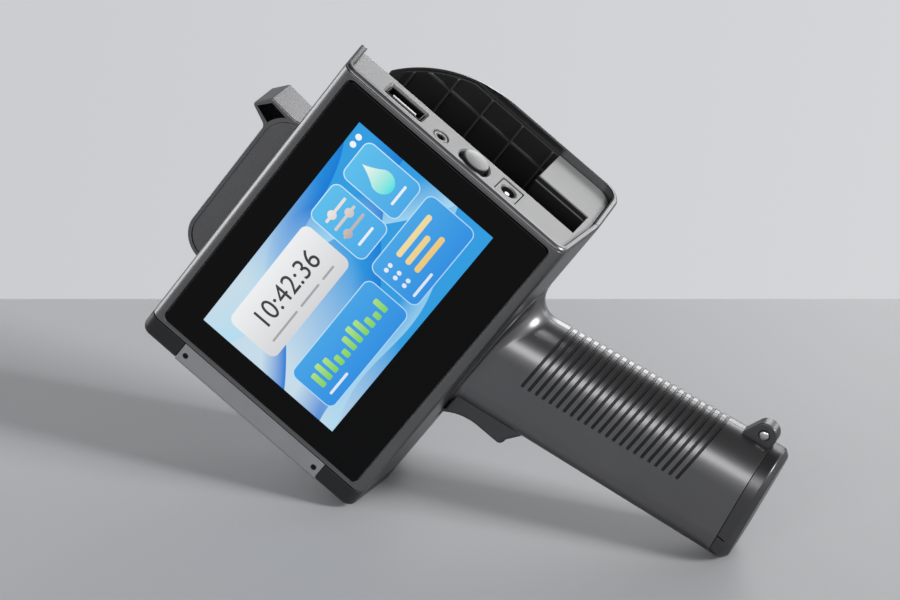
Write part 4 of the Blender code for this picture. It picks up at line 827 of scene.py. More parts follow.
class Finishes:
    """Every finish of the printer, made once."""

    def __init__(self) -> None:
        """Makes the materials that the record's slots and the pieces share."""
        satin = {"roughness": 0.30, "grain": 0.002, "depth": 0.0, "metallic": 0.95, "edge_tint": 0.65}
        kinds = (
            Moulding("housing_plastic", (0.19, 0.19, 0.193), **satin),
            Moulding("panel_plastic", (0.195, 0.196, 0.198), 0.34, 0.002, 0.0),
            Moulding("dark_plastic", (0.021, 0.021, 0.022), 0.42, specular=0.35),
            Moulding("black_plastic", (0.016, 0.016, 0.017), 0.5),
            Moulding("dark_satin", (0.11, 0.11, 0.112), **satin),
            # Painted light: a lighter grey for the bay's ribs than the black lining they stand on
            Moulding("rib_painted_light_grey", (0.058, 0.058, 0.06), 0.5),
            Moulding("white_plastic", (0.75, 0.75, 0.73), 0.35),
            CoverGlass("screen_glass", (0.002, 0.002, 0.0022)),
            Wallpaper("lcd"),
            Metal("nose_steel", (0.48, 0.484, 0.494), 0.40),
            Metal("bright_steel", (0.56, 0.565, 0.57), 0.25, Lay.ALONG_X),
            Metal("black_steel", (0.03, 0.03, 0.032), 0.4),
            Moulding("rubber", (0.02, 0.02, 0.021), 0.78, 0.0004, 0.00001),
            Laminate("circuit_board", (0.012, 0.085, 0.042)),
            Moulding("battery_wrap", (0.02, 0.06, 0.22), 0.4),
            Metal("gold_contacts", (0.75, 0.52, 0.20), 0.28),
        )
        self.made = {kind.name: kind.material() for kind in kinds}

    def __getitem__(self, slot: str) -> bpy.types.Material:
        """The material of a slot."""
        return self.made[slot]


@dataclass(frozen=True)
class Assembly:
    """What every sub-assembly shares: its finishes and the way its pieces are put in place."""

    finishes: Finishes

    def put(self, name: str, mesh: bpy.types.Mesh, slot: str, rides: Rides = Rides.BODY, replaces: tuple = (),
            angle: float = 32.0, material: bpy.types.Material | None = None) -> bpy.types.Object:
        """Dresses a finished shape, lays it down and ties it to its body.

        Args:
            name: Name of the piece.
            mesh: Its shape in the upright frame.
            slot: The record's material slot.
            rides: The body that it moves with.
            replaces: Solids that it stands for.
            angle: Edges sharper than this stay sharp, in degrees.
            material: A material other than the slot's own.

        Returns:
            The piece.
        """
        mesh.transform(LAID_DOWN)
        mesh = shaded(mesh, angle)
        mesh.name = name
        mesh.materials.clear()
        mesh.materials.append(material or self.finishes[slot])
        piece = bpy.data.objects.new(name, mesh)
        bpy.context.scene.collection.objects.link(piece)
        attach(piece, rides.value)
        if replaces:
            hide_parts(*replaces)
        LOG.info("%s: %d faces on %s", name, len(mesh.polygons), rides.value)
        return piece


# Shared forms

@dataclass(frozen=True)
class BodyForm:
    """The box behind the screen: its outline across and the wall of the cartridge bay."""

    nose_reach: float = 0.0760
    rear_reach: float = 0.0685
    frame_x0: float = -0.0670
    frame_x1: float = 0.0670
    front_half: float = 0.0532
    waist_half: float = 0.0558
    back_half: float = 0.0546
    depth: float = 0.0655
    parting_y: float = 0.0330
    front_edge_r: float = 0.0045
    back_edge_r: float = 0.0090
    land: float = 0.0006
    wall: float = 0.0025
    bay_y: float = 0.0210
    deck_z: float = 0.0475
    deck_low: float = 0.0115
    corner_r: float = 0.0557
    corner_x: float = 0.0142
    corner_z: float = -0.0011
    rear_lean: float = 0.0217
    mouth_x: float = 0.0305
    ledge_z: float = -0.0260
    frame_depth: float = 0.0060
    panel_back_x: float = 0.0642
    window_y: float = 0.0420
    nozzle_w: float = 0.0250
    nozzle_h: float = 0.0390
    seam_run: float = 0.0040
    seam_ease: float = 0.00008

    def leant(self, mesh: bpy.types.Mesh) -> bpy.types.Mesh:
        """Leans the end of a box back, so that its rear rim reaches further at the back."""
        for vertex in mesh.vertices:
            if vertex.co.x > self.frame_x1 - FIT:
                vertex.co.x += self.rear_lean * max(vertex.co.y, 0.0)
        return mesh

    def window(self, x0: float, x1: float, wide: float, high: float) -> bpy.types.Mesh:
        """A tool for an opening in the print face, from x0 to x1."""
        return bar(x0, x1, self.window_y - wide / 2, self.window_y + wide / 2, -high / 2, high / 2)

    def bay_arc(self, draw: float, start: float, height: float) -> Outline:
        """The bay's large round corner in (x, z), drawn in, from an angle up to a height."""
        radius = self.corner_r - draw
        end = math.degrees(math.asin((height - self.corner_z) / radius))
        return arc(self.corner_x, self.corner_z, radius, start, end, 40)

    def side_at(self, y: float) -> float:
        """Half the height at a depth, on the sides of the front half."""
        rise = (y - self.front_edge_r) / (self.parting_y - self.front_edge_r)
        return self.front_half + (self.waist_half - self.front_half) * rise

    def floor_at(self, y: float) -> float:
        """Height of the underside at a depth."""
        if y <= self.parting_y:
            return -self.side_at(y)
        share = (y - self.parting_y) / (self.depth - self.back_edge_r - self.parting_y)
        return -self.waist_half + (self.waist_half - self.back_half) * share

    def back_arcs(self, draw: float) -> tuple[Outline, Outline]:
        """The two back corners in (y, z), drawn in, each with a narrow flat land beside it."""
        y = self.depth - self.back_edge_r
        radius = self.back_edge_r - draw
        upper = arc(y, self.deck_z - self.back_edge_r, radius, 90, 0)
        lower = arc(y, -self.back_half + self.back_edge_r, radius, 0, -90)
        upper.append((upper[-1][0], upper[-1][1] - self.land))
        lower.insert(0, (lower[0][0], lower[0][1] + self.land))
        return upper, lower

    def outline(self) -> Outline:
        """The whole outline in (y, z)."""
        upper, lower = self.back_arcs(0)
        middle = self.front_half - self.front_edge_r
        points = arc(self.front_edge_r, middle, self.front_edge_r, 180, 90)
        points += [(self.bay_y, self.side_at(self.bay_y)), (self.bay_y, self.deck_z)] + upper + lower
        near = self.parting_y - self.seam_run
        far = self.parting_y + self.seam_run
        points += [(far, self.floor_at(far)), (self.parting_y, -self.waist_half + self.seam_ease)]
        points += [(near, -self.side_at(near))]
        return points + arc(self.front_edge_r, -middle, self.front_edge_r, -90, -180)

    def bay_outline(self, wall: float) -> Outline:
        """The inside of the bay in (y, z)."""
        upper, lower = self.back_arcs(wall)
        bottom = [(self.parting_y, -self.waist_half + wall)]
        bottom += [(self.bay_y, -self.side_at(self.bay_y) + wall)]
        return [(self.bay_y, self.deck_z - wall)] + upper + lower + bottom

    def frame_outline(self) -> Outline:
        """The section of the screen frame in (y, z)."""
        depth = self.frame_depth
        middle = self.front_half - self.front_edge_r
        points = arc(self.front_edge_r, middle, self.front_edge_r, 180, 90)
        points += [(depth, self.side_at(depth)), (depth, -self.side_at(depth))]
        return points + arc(self.front_edge_r, -middle, self.front_edge_r, -90, -180)


@dataclass(frozen=True)
class GripForm:
    """The leaning D-shaped grip with its neck and finger grooves."""

    thick: float = 0.0330
    ref_z: float = -0.0725
    front_x: float = -0.0177
    rear_x: float = 0.0281
    lean: float = 0.2064
    flare: float = 0.92
    corner_r: float = 0.0120
    end_z: float = -0.1688
    end_slope: float = 0.185
    cap_h: float = 0.0070
    chamfer: float = 0.0022
    neck_side_r: float = 0.0028
    neck_rear_r: float = 0.0110
    neck_land: float = 0.0003
    groove_count: int = 23
    groove_pitch: float = 0.0030
    groove_w: float = 0.0010
    groove_depth: float = 0.0010
    groove_edge: float = 0.00012
    groove_start: float = 0.0233
    groove_end: float = 0.0004
    middle_y: float = 0.0330
    # Painted shade in the grooves: the dark bands' depth as shares of a groove's depth, and their sinking
    # beyond it
    shade_band_top: float = 0.55
    shade_band_foot: float = 1.4
    shade_band_sunk: tuple = (0.0009, 0.0014)
    seam_edge: float = 0.00015
    neck_overlap: float = 0.0015

    def section(self) -> list[tuple[float, float, float, float]]:
        """The section at the reference height: (x, y, normal x, normal y), anticlockwise from the rear."""
        half = self.thick / 2
        front = self.front_x + self.corner_r
        rear = self.rear_x - half
        start = self.front_x + self.groove_start
        flats = [start + self.groove_end, start, start - self.groove_end]
        points = []
        for i in range(41):
            angle = math.radians(-90 + 180 * i / 40)
            normal = (math.cos(angle), math.sin(angle))
            points.append((rear + half * normal[0], self.middle_y + half * normal[1], *normal))
        points += [(x, self.middle_y + half, 0.0, 1.0) for x in flats]
        for sign, first in ((1, 90), (-1, 180)):
            for i in range(13):
                angle = math.radians(first + 90 * i / 12)
                normal = (math.cos(angle), math.sin(angle))
                y = self.middle_y + sign * (half - self.corner_r) + self.corner_r * normal[1]
                points.append((front + self.corner_r * normal[0], y, *normal))
        return points + [(x, self.middle_y - half, 0.0, -1.0) for x in reversed(flats)]

    def lean_at(self, x: float) -> float:
        """The lean of the line through x at the reference height: the grip widens towards its end."""
        return self.lean + self.flare * (x - (self.front_x + self.rear_x) / 2)

    def at(self, x: float, z: float) -> float:
        """Where the leaning line through x at the reference height stands at height z."""
        return x + self.lean_at(x) * (self.ref_z - z)

    def level(self, z: float, groove: float = 0.0, sink: float = 0.0) -> list[Point]:
        """A level ring, cut in by a share of the groove where the grooves run and sunk elsewhere."""
        start = self.front_x + self.groove_start
        ring = []
        for x, y, nx, ny in self.section():
            share = min(max((x - start + self.groove_end) / (2 * self.groove_end), 0.0), 1.0)
            draw = groove * self.groove_depth * share + sink * (1 - share)
            ring.append((self.at(x - nx * draw, z), y - ny * draw, z))
        return ring

    def groove_shade_band(self, z: float) -> bpy.types.Mesh:
        """Painted shade: the dark band that fills the bottom of one groove."""
        low = z - self.groove_w / 2 - self.groove_edge
        high = z + self.groove_w / 2 + self.groove_edge
        top_sunk, foot_sunk = self.shade_band_sunk
        rings = [self.level(at, self.shade_band_top, top_sunk) for at in (low, high)]
        rings += [self.level(at, self.shade_band_foot, foot_sunk) for at in (high, low)]
        return skin(rings, looped=True)

    def slanted(self, draw: float, middle_z: float) -> list[Point]:
        """A ring in the slope of the grip's end, drawn in."""
        middle_x = self.at((self.front_x + self.rear_x) / 2, middle_z)
        ring = []
        for x, y, nx, ny in self.section():
            x -= nx * draw
            rise = middle_z + self.end_slope * (self.at(x, 0) - middle_x)
            z = rise / (1 + self.end_slope * self.lean_at(x))
            ring.append((self.at(x, z), y - ny * draw, z))
        return ring

    def neck(self, turn: float, lift: float, body: BodyForm) -> list[Point]:
        """A ring of the fillet under the body: 0 degrees where it leaves the grip, 90 at the body."""
        angle = math.radians(turn)
        ring = []
        for x, y, nx, ny in self.section():
            radius = self.neck_side_r + (self.neck_rear_r - self.neck_side_r) * max(nx, 0.0) ** 2
            out = radius * (1 - math.cos(angle))
            depth = y + out * ny
            z = body.floor_at(depth) - self.neck_land - radius * (1 - math.sin(angle))
            ring.append((self.at(x + out * nx, z), depth, z + lift))
        return ring

    def rings(self, body: BodyForm) -> list[list[Point]]:
        """Every ring of the grip from its end seam up into the body."""
        seam = self.end_z + self.cap_h
        rings = [self.slanted(self.seam_edge, seam), self.slanted(0.0, seam + self.seam_edge)]
        for i in reversed(range(self.groove_count)):
            z = self.ref_z - i * self.groove_pitch
            low = z - self.groove_w / 2
            high = z + self.groove_w / 2
            rings += [self.level(low - self.groove_edge), self.level(low + self.groove_edge, 1.0)]
            rings += [self.level(high - self.groove_edge, 1.0), self.level(high + self.groove_edge)]
        rings += [self.neck(turn, 0.0, body) for turn in range(0, 91, 9)]
        return rings + [self.neck(90, self.neck_overlap, body)]


FORM = BodyForm()
GRIP = GripForm()


# Sub-assemblies

@dataclass(frozen=True)
class Shell(Assembly):
    """Both housing halves: the box behind the screen, the bay's walls, the grip and the strap lug."""

    rear_edge_r: float = 0.0014
    front_rim: float = 0.0016
    slot_x: float = -0.0512
    slot_y: float = 0.0403
    trigger_box: tuple = (-0.0338, 0.0040, 0.0246, 0.0414, -0.0861, -0.0543)
    pivot: tuple = (-0.0355, 0.0503)
    ear_y: float = 0.0406
    ear_t: float = 0.0040
    ear_r: float = 0.0050
    lug_z: float = -0.1526
    lug_r: float = 0.0049
    lug_out: float = 0.0035
    lug_tail: float = 0.0068
    lug_t: float = 0.0064
    lug_hole_r: float = 0.0017
    bore_r: float = 0.0031
    body_bores: tuple = ((-0.0595, 0.0388), (-0.0595, -0.0455))
    grip_bores: tuple = ((0.0060, -0.0630), (0.0090, -0.0880))
    body_seat_y: float = 0.0500
    grip_seat_y: float = 0.0420
    rim_r: float = 0.0019
    room: tuple = (-0.0600, 0.0645, 0.0088, 0.0190, -0.0490, 0.0490)
    button_room: tuple = (0.0114, -0.0059, 0.0078)
    pin_bore_r: float = 0.0016
    pin_dome: float = 0.0007
    pin_lap: float = 0.0002
    lug_root: float = 0.0030
    lug_edge: float = 0.0006

    def build(self) -> None:
        """Shapes the whole shell, parts it and puts both halves in place."""
        whole = worked(self.box(), Cut.ON, skin(GRIP.rings(FORM)), self.ear())
        whole = worked(whole, Cut.AWAY, self.openings())
        far = 0.12
        seam = FORM.parting_y
        for name, y0, y1 in (("front", seam - FIT / 2, far), ("back", -far, seam + FIT / 2)):
            other = bar(-far, far, y0, y1, -2 * far, far)
            half = worked(whole.copy(), Cut.AWAY, other)
            self.put(f"{name}_shell", half, "housing_plastic", replaces=(f"{name}_housing",))
        self.put("strap_lug", worked(self.lug(), Cut.AWAY, self.lug_hole()), "housing_plastic",
                 material=self.finishes["dark_satin"])
        self.put("strap_pin", self.strap_pin(), "bright_steel")
        # Painted shade: dark bands in the bottoms of the finger grooves
        lines = [GRIP.groove_shade_band(GRIP.ref_z - i * GRIP.groove_pitch) for i in range(GRIP.groove_count)]
        self.put("groove_shade_bands", joined(*lines), "dark_plastic")

    def strap_pin(self) -> bpy.types.Mesh:
        """The steel pin with domed ends in the strap lug's hole."""
        radius = self.lug_hole_r + self.pin_lap
        turns = [math.pi / 16 * i for i in range(9)]
        dome = [(radius * math.sin(t), self.lug_t / 2 + self.pin_dome * math.cos(t)) for t in turns]
        profile = [(r, -h) for r, h in dome] + dome[::-1]
        return lathe(profile, Axis.Y, (self.hole_x(), FORM.parting_y, self.lug_z), 40)

    def hole_x(self) -> float:
        """Where the strap lug's hole is."""
        return GRIP.at(GRIP.rear_x, self.lug_z) + self.lug_out

    def box(self) -> bpy.types.Mesh:
        """The box with its pocket for the rear panel and the open cartridge bay."""
        far = FORM.rear_reach + OVERRUN
        ends = soft_ends(FORM.frame_x0, FORM.rear_reach, EDGE, self.rear_edge_r)
        block = FORM.leant(prism(FORM.outline(), Axis.X, ends))
        pocket_x = FORM.panel_back_x - FIT
        wall = FORM.wall - 0.0001
        middle = FORM.front_half - FORM.front_edge_r
        step_y = FORM.bay_y + OVERRUN
        pocket = [(self.front_rim, -middle), (self.front_rim, middle)]
        pocket += [(FORM.front_edge_r, FORM.front_half - wall)]
        pocket += [(step_y, FORM.side_at(FORM.bay_y) - wall), (step_y, FORM.deck_z - wall)]
        pocket += FORM.bay_outline(wall)[1:-1] + [(FORM.front_edge_r, -FORM.front_half + wall)]
        mouth = [(pocket_x - LAP, 0.0), (FORM.rear_reach - 0.0005, 0.0)]
        mouth += [(FORM.rear_reach + EDGE, -0.0008)]
        back_y = FORM.depth - FORM.wall + LAP
        front_y = FORM.bay_y - LAP
        deck = [(self.slot_x, front_y), (far, front_y), (far, back_y), (FORM.mouth_x, back_y)]
        deck += [(FORM.mouth_x, self.slot_y), (self.slot_x, self.slot_y)]
        high = FORM.deck_z + OVERRUN
        low = -0.08
        corner = [(far, low), (FORM.corner_x + FORM.corner_r, low)] + FORM.bay_arc(0, 0, high) + [(far, high)]
        turns = [math.pi / 2 * i / 6 for i in range(7)]
        edge = [(FORM.depth - FORM.wall - OVERRUN, 0.0)]
        for t in turns:
            edge.append((FORM.depth - self.rim_r * (1 - math.sin(t)), -self.rim_r * (1 - math.cos(t))))
        edge += [(FORM.depth + OVERRUN, -self.rim_r)]
        button_y, button_z, button_r = self.button_room
        behind_button = prism(circle(button_y, button_z, button_r), Axis.X, [(0.0580, 0.0), (0.0645, 0.0)])
        return worked(
            block, Cut.AWAY,
            bar(FORM.frame_x0 - OVERRUN, FORM.frame_x1 + FIT, -OVERRUN, FORM.frame_depth + FIT, -0.06, 0.06),
            FORM.leant(prism(pocket, Axis.X, mouth)),
            prism(FORM.bay_outline(FORM.wall), Axis.X, [(FORM.frame_x0 + FORM.wall, 0.0), (pocket_x, 0.0)]),
            prism(deck, Axis.Z, [(FORM.deck_low, 0.0), (FORM.deck_z + OVERRUN, 0.0)]),
            prism(corner, Axis.Y, edge),
            bar(*self.room), behind_button,
            FORM.window(FORM.frame_x0 - OVERRUN, FORM.frame_x0 + FORM.wall + OVERRUN,
                        FORM.nozzle_w, FORM.nozzle_h),
        )

    def ear(self) -> bpy.types.Mesh:
        """The ear on the deck that carries the latch's pin."""
        x, z = self.pivot
        low = FORM.deck_z - FORM.wall / 2
        outline = [(x - self.ear_r, low), (x + self.ear_r, low)] + arc(x, z, self.ear_r, 0, 180, 24)
        return prism(outline, Axis.Y, soft_ends(self.ear_y, self.ear_y + self.ear_t, LAP, LAP))

    def lug(self) -> bpy.types.Mesh:
        """The strap lug behind the end of the grip."""
        tail_z = self.lug_z + self.lug_tail
        foot_z = self.lug_z - self.lug_r
        tail_x = GRIP.at(GRIP.rear_x, tail_z)
        outline = [(GRIP.at(GRIP.rear_x, foot_z) - self.lug_root, foot_z)]
        outline += [(tail_x - self.lug_root, tail_z), (tail_x + FIT, tail_z)]
        outline += arc(self.hole_x(), self.lug_z, self.lug_r, 65, -90, 24)
        y0 = FORM.parting_y - self.lug_t / 2
        y1 = FORM.parting_y + self.lug_t / 2
        return prism(outline, Axis.Y, soft_ends(y0, y1, self.lug_edge, self.lug_edge))

    def lug_hole(self) -> bpy.types.Mesh:
        """The lug's hole with its bevelled mouths."""
        half = self.lug_t / 2
        reaches = ((self.lug_t, -0.0038), (half + 0.0001, -0.0007), (half - self.lug_edge, 0.0))
        waist = [(FORM.parting_y - reach, draw) for reach, draw in reaches]
        waist += [(FORM.parting_y + reach, draw) for reach, draw in reversed(reaches)]
        return prism(circle(self.hole_x(), self.lug_z, self.lug_hole_r), Axis.Y, waist)

    def openings(self) -> bpy.types.Mesh:
        """The trigger's opening, the latch pin's bore and the screw bores, as one tool."""
        tools = [bar(*self.trigger_box)]
        pin = [(0.0150, 0.0), (self.ear_y + 0.006, 0.0)]
        tools.append(prism(circle(*self.pivot, self.pin_bore_r), Axis.Y, pin))
        for places, seat, back in ((self.body_bores, self.body_seat_y, FORM.depth),
                                   (self.grip_bores, self.grip_seat_y, FORM.parting_y + GRIP.thick / 2)):
            for x, z in places:
                stations = [(seat, 0.0), (back - LAP, 0.0), (back + 0.0006, -0.0010)]
                tools.append(prism(circle(x, z, self.bore_r), Axis.Y, stations))
        return joined(*tools)


@dataclass(frozen=True)
class Display(Assembly):
    """The screen frame, the cover glass and the lit picture behind it."""

    glass_half_w: float = 0.06485
    glass_half_h: float = 0.0482
    glass_t: float = 0.0014
    glass_corner_r: float = 0.0025
    picture_half_w: float = 0.0540
    picture_half_h: float = 0.0324
    rise: float = 0.0032
    sunk: float = 0.00030
    layer: float = 0.00004
    card_r: float = 3.4
    border_w: float = 0.0004

    def build(self) -> None:
        """Puts the frame, the glass and the picture in place."""
        self.build_frame()
        self.build_glass()
        self.build_picture()

    def build_frame(self) -> None:
        """The bezel with round long edges."""
        ends = soft_ends(FORM.frame_x0, FORM.frame_x1, EDGE, EDGE)
        block = prism(FORM.frame_outline(), Axis.X, ends)
        w = self.glass_half_w + FIT
        h = self.glass_half_h + FIT
        seat = rounded(-w, w, -h, h, self.glass_corner_r)
        floor_y = self.glass_t + FIT
        mouth = [(-LAP, -0.0007), (EDGE, 0.0), (floor_y, 0.0)]
        self.put("bezel", worked(block, Cut.AWAY, prism(seat, Axis.Y, mouth)), "housing_plastic",
                 replaces=("screen_frame",))

    def build_glass(self) -> None:
        """The cover glass with its black border."""
        w = self.glass_half_w
        h = self.glass_half_h
        ends = soft_ends(0.0, self.glass_t, LAP, 0.0)
        pane = prism(rounded(-w, w, -h, h, self.glass_corner_r), Axis.Y, ends)
        low = self.rise - self.picture_half_h
        window = rectangle(-self.picture_half_w, self.picture_half_w, low, low + 2 * self.picture_half_h)
        pane = worked(pane, Cut.AWAY, prism(window, Axis.Y, [(-OVERRUN, 0.0), (self.sunk, 0.0)]))
        self.put("cover_glass", pane, "screen_glass", replaces=("screen_glass",))

    def sheet(self, level: int) -> Outline:
        """Stations of a layer of the picture, counted from its backdrop."""
        back = self.sunk - level * 1.25 * self.layer
        return [(back - self.layer, 0.0), (back, 0.0)]

    def card(self, u0: float, u1: float, v0: float, v1: float, radius: float) -> Outline:
        """A rounded card on the picture, in millimetres from the picture's middle."""
        return rounded(u0 * MM, u1 * MM, v0 * MM + self.rise, v1 * MM + self.rise, radius * MM)

    def build_picture(self) -> None:
        """The lit picture: a clock card and four touch tiles of a plain design of its own."""
        w = self.picture_half_w
        h = self.picture_half_h
        ground = prism(rectangle(-w, w, self.rise - h, self.rise + h), Axis.Y, self.sheet(0))
        self.put("display_backdrop", ground, "lcd", replaces=("lcd_panel",))
        tiles = [(10.0, 29.0, -1.0, 26.0), (32.0, 51.0, -1.0, 26.0)]
        tiles += [(10.0, 51.0, -27.0, -4.0), (-47.0, 7.0, -27.0, -6.0)]
        plates = []
        borders = []
        for u0, u1, v0, v1 in tiles:
            outline = self.card(u0, u1, v0, v1, self.card_r)
            plates.append(prism(outline, Axis.Y, self.sheet(1)))
            (front, _), (back, _) = self.sheet(2)
            borders.append(band(outline, self.border_w, Axis.Y, front, back))
        self.lit("display_tiles", plates, Lit("tile_blue", (0.018, 0.24, 0.74), (0.11, 0.52, 0.83), -30, 30))
        pale = Lit("tile_border", (0.40, 0.66, 0.90), (0.62, 0.82, 0.94), -30, 30)
        self.lit("display_borders", borders, pale)
        clock = prism(self.card(-47.0, 7.0, 2.0, 25.0, self.card_r), Axis.Y, self.sheet(1))
        self.lit("display_clock", [clock], Lit("card_white", (0.62, 0.62, 0.64), (0.86, 0.87, 0.88), 0, 30))
        digits = [self.numerals("10:42:36", -20.0, 11.2, 11.5)]
        self.lit("display_digits", digits, Lit("digit_grey", (0.03, 0.03, 0.035), (0.06, 0.06, 0.065), 0, 30))
        line = [self.stroke(u0, u1, 6.6, 0.9) for u0, u1 in ((-41.0, -24.0), (-21.5, -9.0), (-6.5, 1.0))]
        self.lit("display_captions", line, Lit("caption_grey", (0.36, 0.36, 0.38), (0.40, 0.40, 0.42), 0, 30))
        self.build_icons()

    def lit(self, name: str, shapes: list, finish: Lit) -> None:
        """Puts a layer of the picture in place."""
        self.put(name, joined(*shapes), "lcd", material=finish.material())

    def numerals(self, text: str, u: float, v: float, height: float) -> bpy.types.Mesh:
        """Plain numbers, centred on a place of the picture.

        Args:
            text: The numbers.
            u: Middle across, in millimetres.
            v: Foot of the numbers, in millimetres.
            height: Size of the type, in millimetres.

        Returns:
            The numbers as a mesh.
        """
        curve = bpy.data.curves.new("numerals", "FONT")
        curve.body = text
        curve.size = height * MM
        curve.align_x = "CENTER"
        curve.extrude = self.layer / 2
        curve.resolution_u = 6
        obj = bpy.data.objects.new("numerals", curve)
        bpy.context.scene.collection.objects.link(obj)
        mesh = evaluated(obj)
        bpy.data.objects.remove(obj, do_unlink=True)
        (front, _), (back, _) = self.sheet(2)
        stand = Matrix.Rotation(math.radians(90), 4, "X")
        mesh.transform(Matrix.Translation((u * MM, (front + back) / 2, self.rise + v * MM)) @ stand)
        return mesh

    def stroke(self, u0: float, u1: float, v: float, width: float, level: int = 2) -> bpy.types.Mesh:
        """A level bar with round ends on the picture, in millimetres."""
        half = width / 2
        return prism(self.card(u0, u1, v - half, v + half, half * 0.98), Axis.Y, self.sheet(level))

    def dot(self, u: float, v: float, radius: float, level: int = 3) -> bpy.types.Mesh:
        """A round dot on the picture, in millimetres."""
        return prism(circle(u * MM, v * MM + self.rise, radius * MM, 32), Axis.Y, self.sheet(level))

    def build_icons(self) -> None:
        """Plain marks on the tiles: sliders, a drop, a stack of bars and a row of dots."""
        silver = []
        for v, knob in ((19.0, 17.0), (14.5, 22.5), (10.0, 15.5)):
            silver += [self.stroke(12.8, 26.2, v, 1.2), self.dot(knob, v, 1.9)]
        metal = Lit("icon_silver", (0.42, 0.36, 0.35), (0.86, 0.80, 0.78), 10, 24)
        self.lit("display_sliders", silver, metal)
        round_part = arc(41.5 * MM, self.rise + 12.0 * MM, 4.9 * MM, -205, 25, 40)
        tip = (41.5 * MM, self.rise + 22.0 * MM)
        drop = round_part + quadratic(round_part[-1], (42.9 * MM, self.rise + 18.0 * MM), tip, 10)
        drop += quadratic(tip, (40.1 * MM, self.rise + 18.0 * MM), round_part[0], 10)[:-1]
        mint = [prism(drop, Axis.Y, self.sheet(3))]
        self.lit("display_drop", mint, Lit("icon_mint", (0.06, 0.74, 0.72), (0.84, 0.90, 0.80), 10, 24))
        amber = []
        for row, end in enumerate((44.0, 37.0, 40.5)):
            amber.append(self.stroke(22.0, end, -9.6 - 4.4 * row, 2.3, 3))
        self.lit("display_bars", amber, Lit("icon_amber", (0.82, 0.50, 0.10), (0.86, 0.72, 0.38), -22, -4))
        marks = [self.dot(14.4 + 2.6 * (i % 2), -9.6 - 4.4 * (i // 2), 0.95) for i in range(6)]
        for u0, u1, v in ((14.6, 24.4, 4.2), (36.6, 46.4, 4.2), (13.4, 26.0, -23.6), (-42.0, -30.0, -22.8)):
            marks.append(self.stroke(u0, u1, v, 1.1))
        marks += [self.dot(u, 29.2, 1.3, 2) for u in (49.0, 45.2)]
        self.lit("display_marks", marks, Lit("icon_white", (0.70, 0.78, 0.88), (0.86, 0.90, 0.94), -30, 30))
        green = []
        foot = -19.4
        for i in range(11):
            height = 2.2 + 5.6 * abs(math.sin(0.9 + 0.62 * i))
            card = self.card(-42.0 + 4.2 * i, -39.4 + 4.2 * i, foot, foot + height, 0.7)
            green.append(prism(card, Axis.Y, self.sheet(3)))
        self.lit("display_levels", green, Lit("icon_green", (0.10, 0.56, 0.05), (0.52, 0.80, 0.30), -20, -6))


@dataclass(frozen=True)
class Fastener(Assembly):
    """A screw head with a socket, made on every place that it is used."""

    name: str = "screw"
    head_r: float = 0.0012
    head_h: float = 0.0007
    recess_r: float = 0.0006
    recess_depth: float = 0.0004
    recess_sides: int = 6
    places: tuple = ()
    outward: int = 1
    slot: str = "black_steel"

    def build(self, replaces: tuple) -> None:
        """Makes all the heads in one tree and puts them in place."""
        sizes = {"Head radius": self.head_r, "Head height": self.head_h, "Recess radius": self.recess_r,
                 "Recess depth": self.recess_depth, "Recess sides": self.recess_sides, "Head sides": 40}
        tree = Repeat(self.name, sizes)
        head = self.drum(tree, "Head sides", "Head radius", "Head height")
        hollow = self.drum(tree, "Recess sides", "Recess radius", "Recess depth")
        lift = tree.vector(z=tree.times("Head height", 0.5))
        raised = tree.node("GeometryNodeTransform", None, {"Geometry": hollow, "Translation": lift})
        carve = {"operation": "DIFFERENCE", "solver": "EXACT"}
        carved = tree.node("GeometryNodeMeshBoolean", carve, {"Mesh 1": head, "Mesh 2": raised.outputs[0]})
        turn = (-math.pi / 2 * self.outward, 0.0, 0.0)
        upright = tree.node("GeometryNodeTransform", None, {"Geometry": carved.outputs[0], "Rotation": turn})
        spread = tree.spread(upright.outputs[0], tree.start())
        base = bpy.data.meshes.new("places")
        base.from_pydata(list(self.places), [], [])
        heads = tree.made([spread], self.finishes[self.slot], base)
        self.put(self.name, heads, self.slot, replaces=replaces)

    def drum(self, tree: Repeat, sides: str, radius: str, depth: str) -> bpy.types.NodeSocket:
        """A cylinder with three named sizes of a tree."""
        links = {"Vertices": tree.size(sides), "Radius": tree.size(radius), "Depth": tree.size(depth)}
        return tree.node("GeometryNodeMeshCylinder", {"fill_type": "NGON"}, links).outputs["Mesh"]


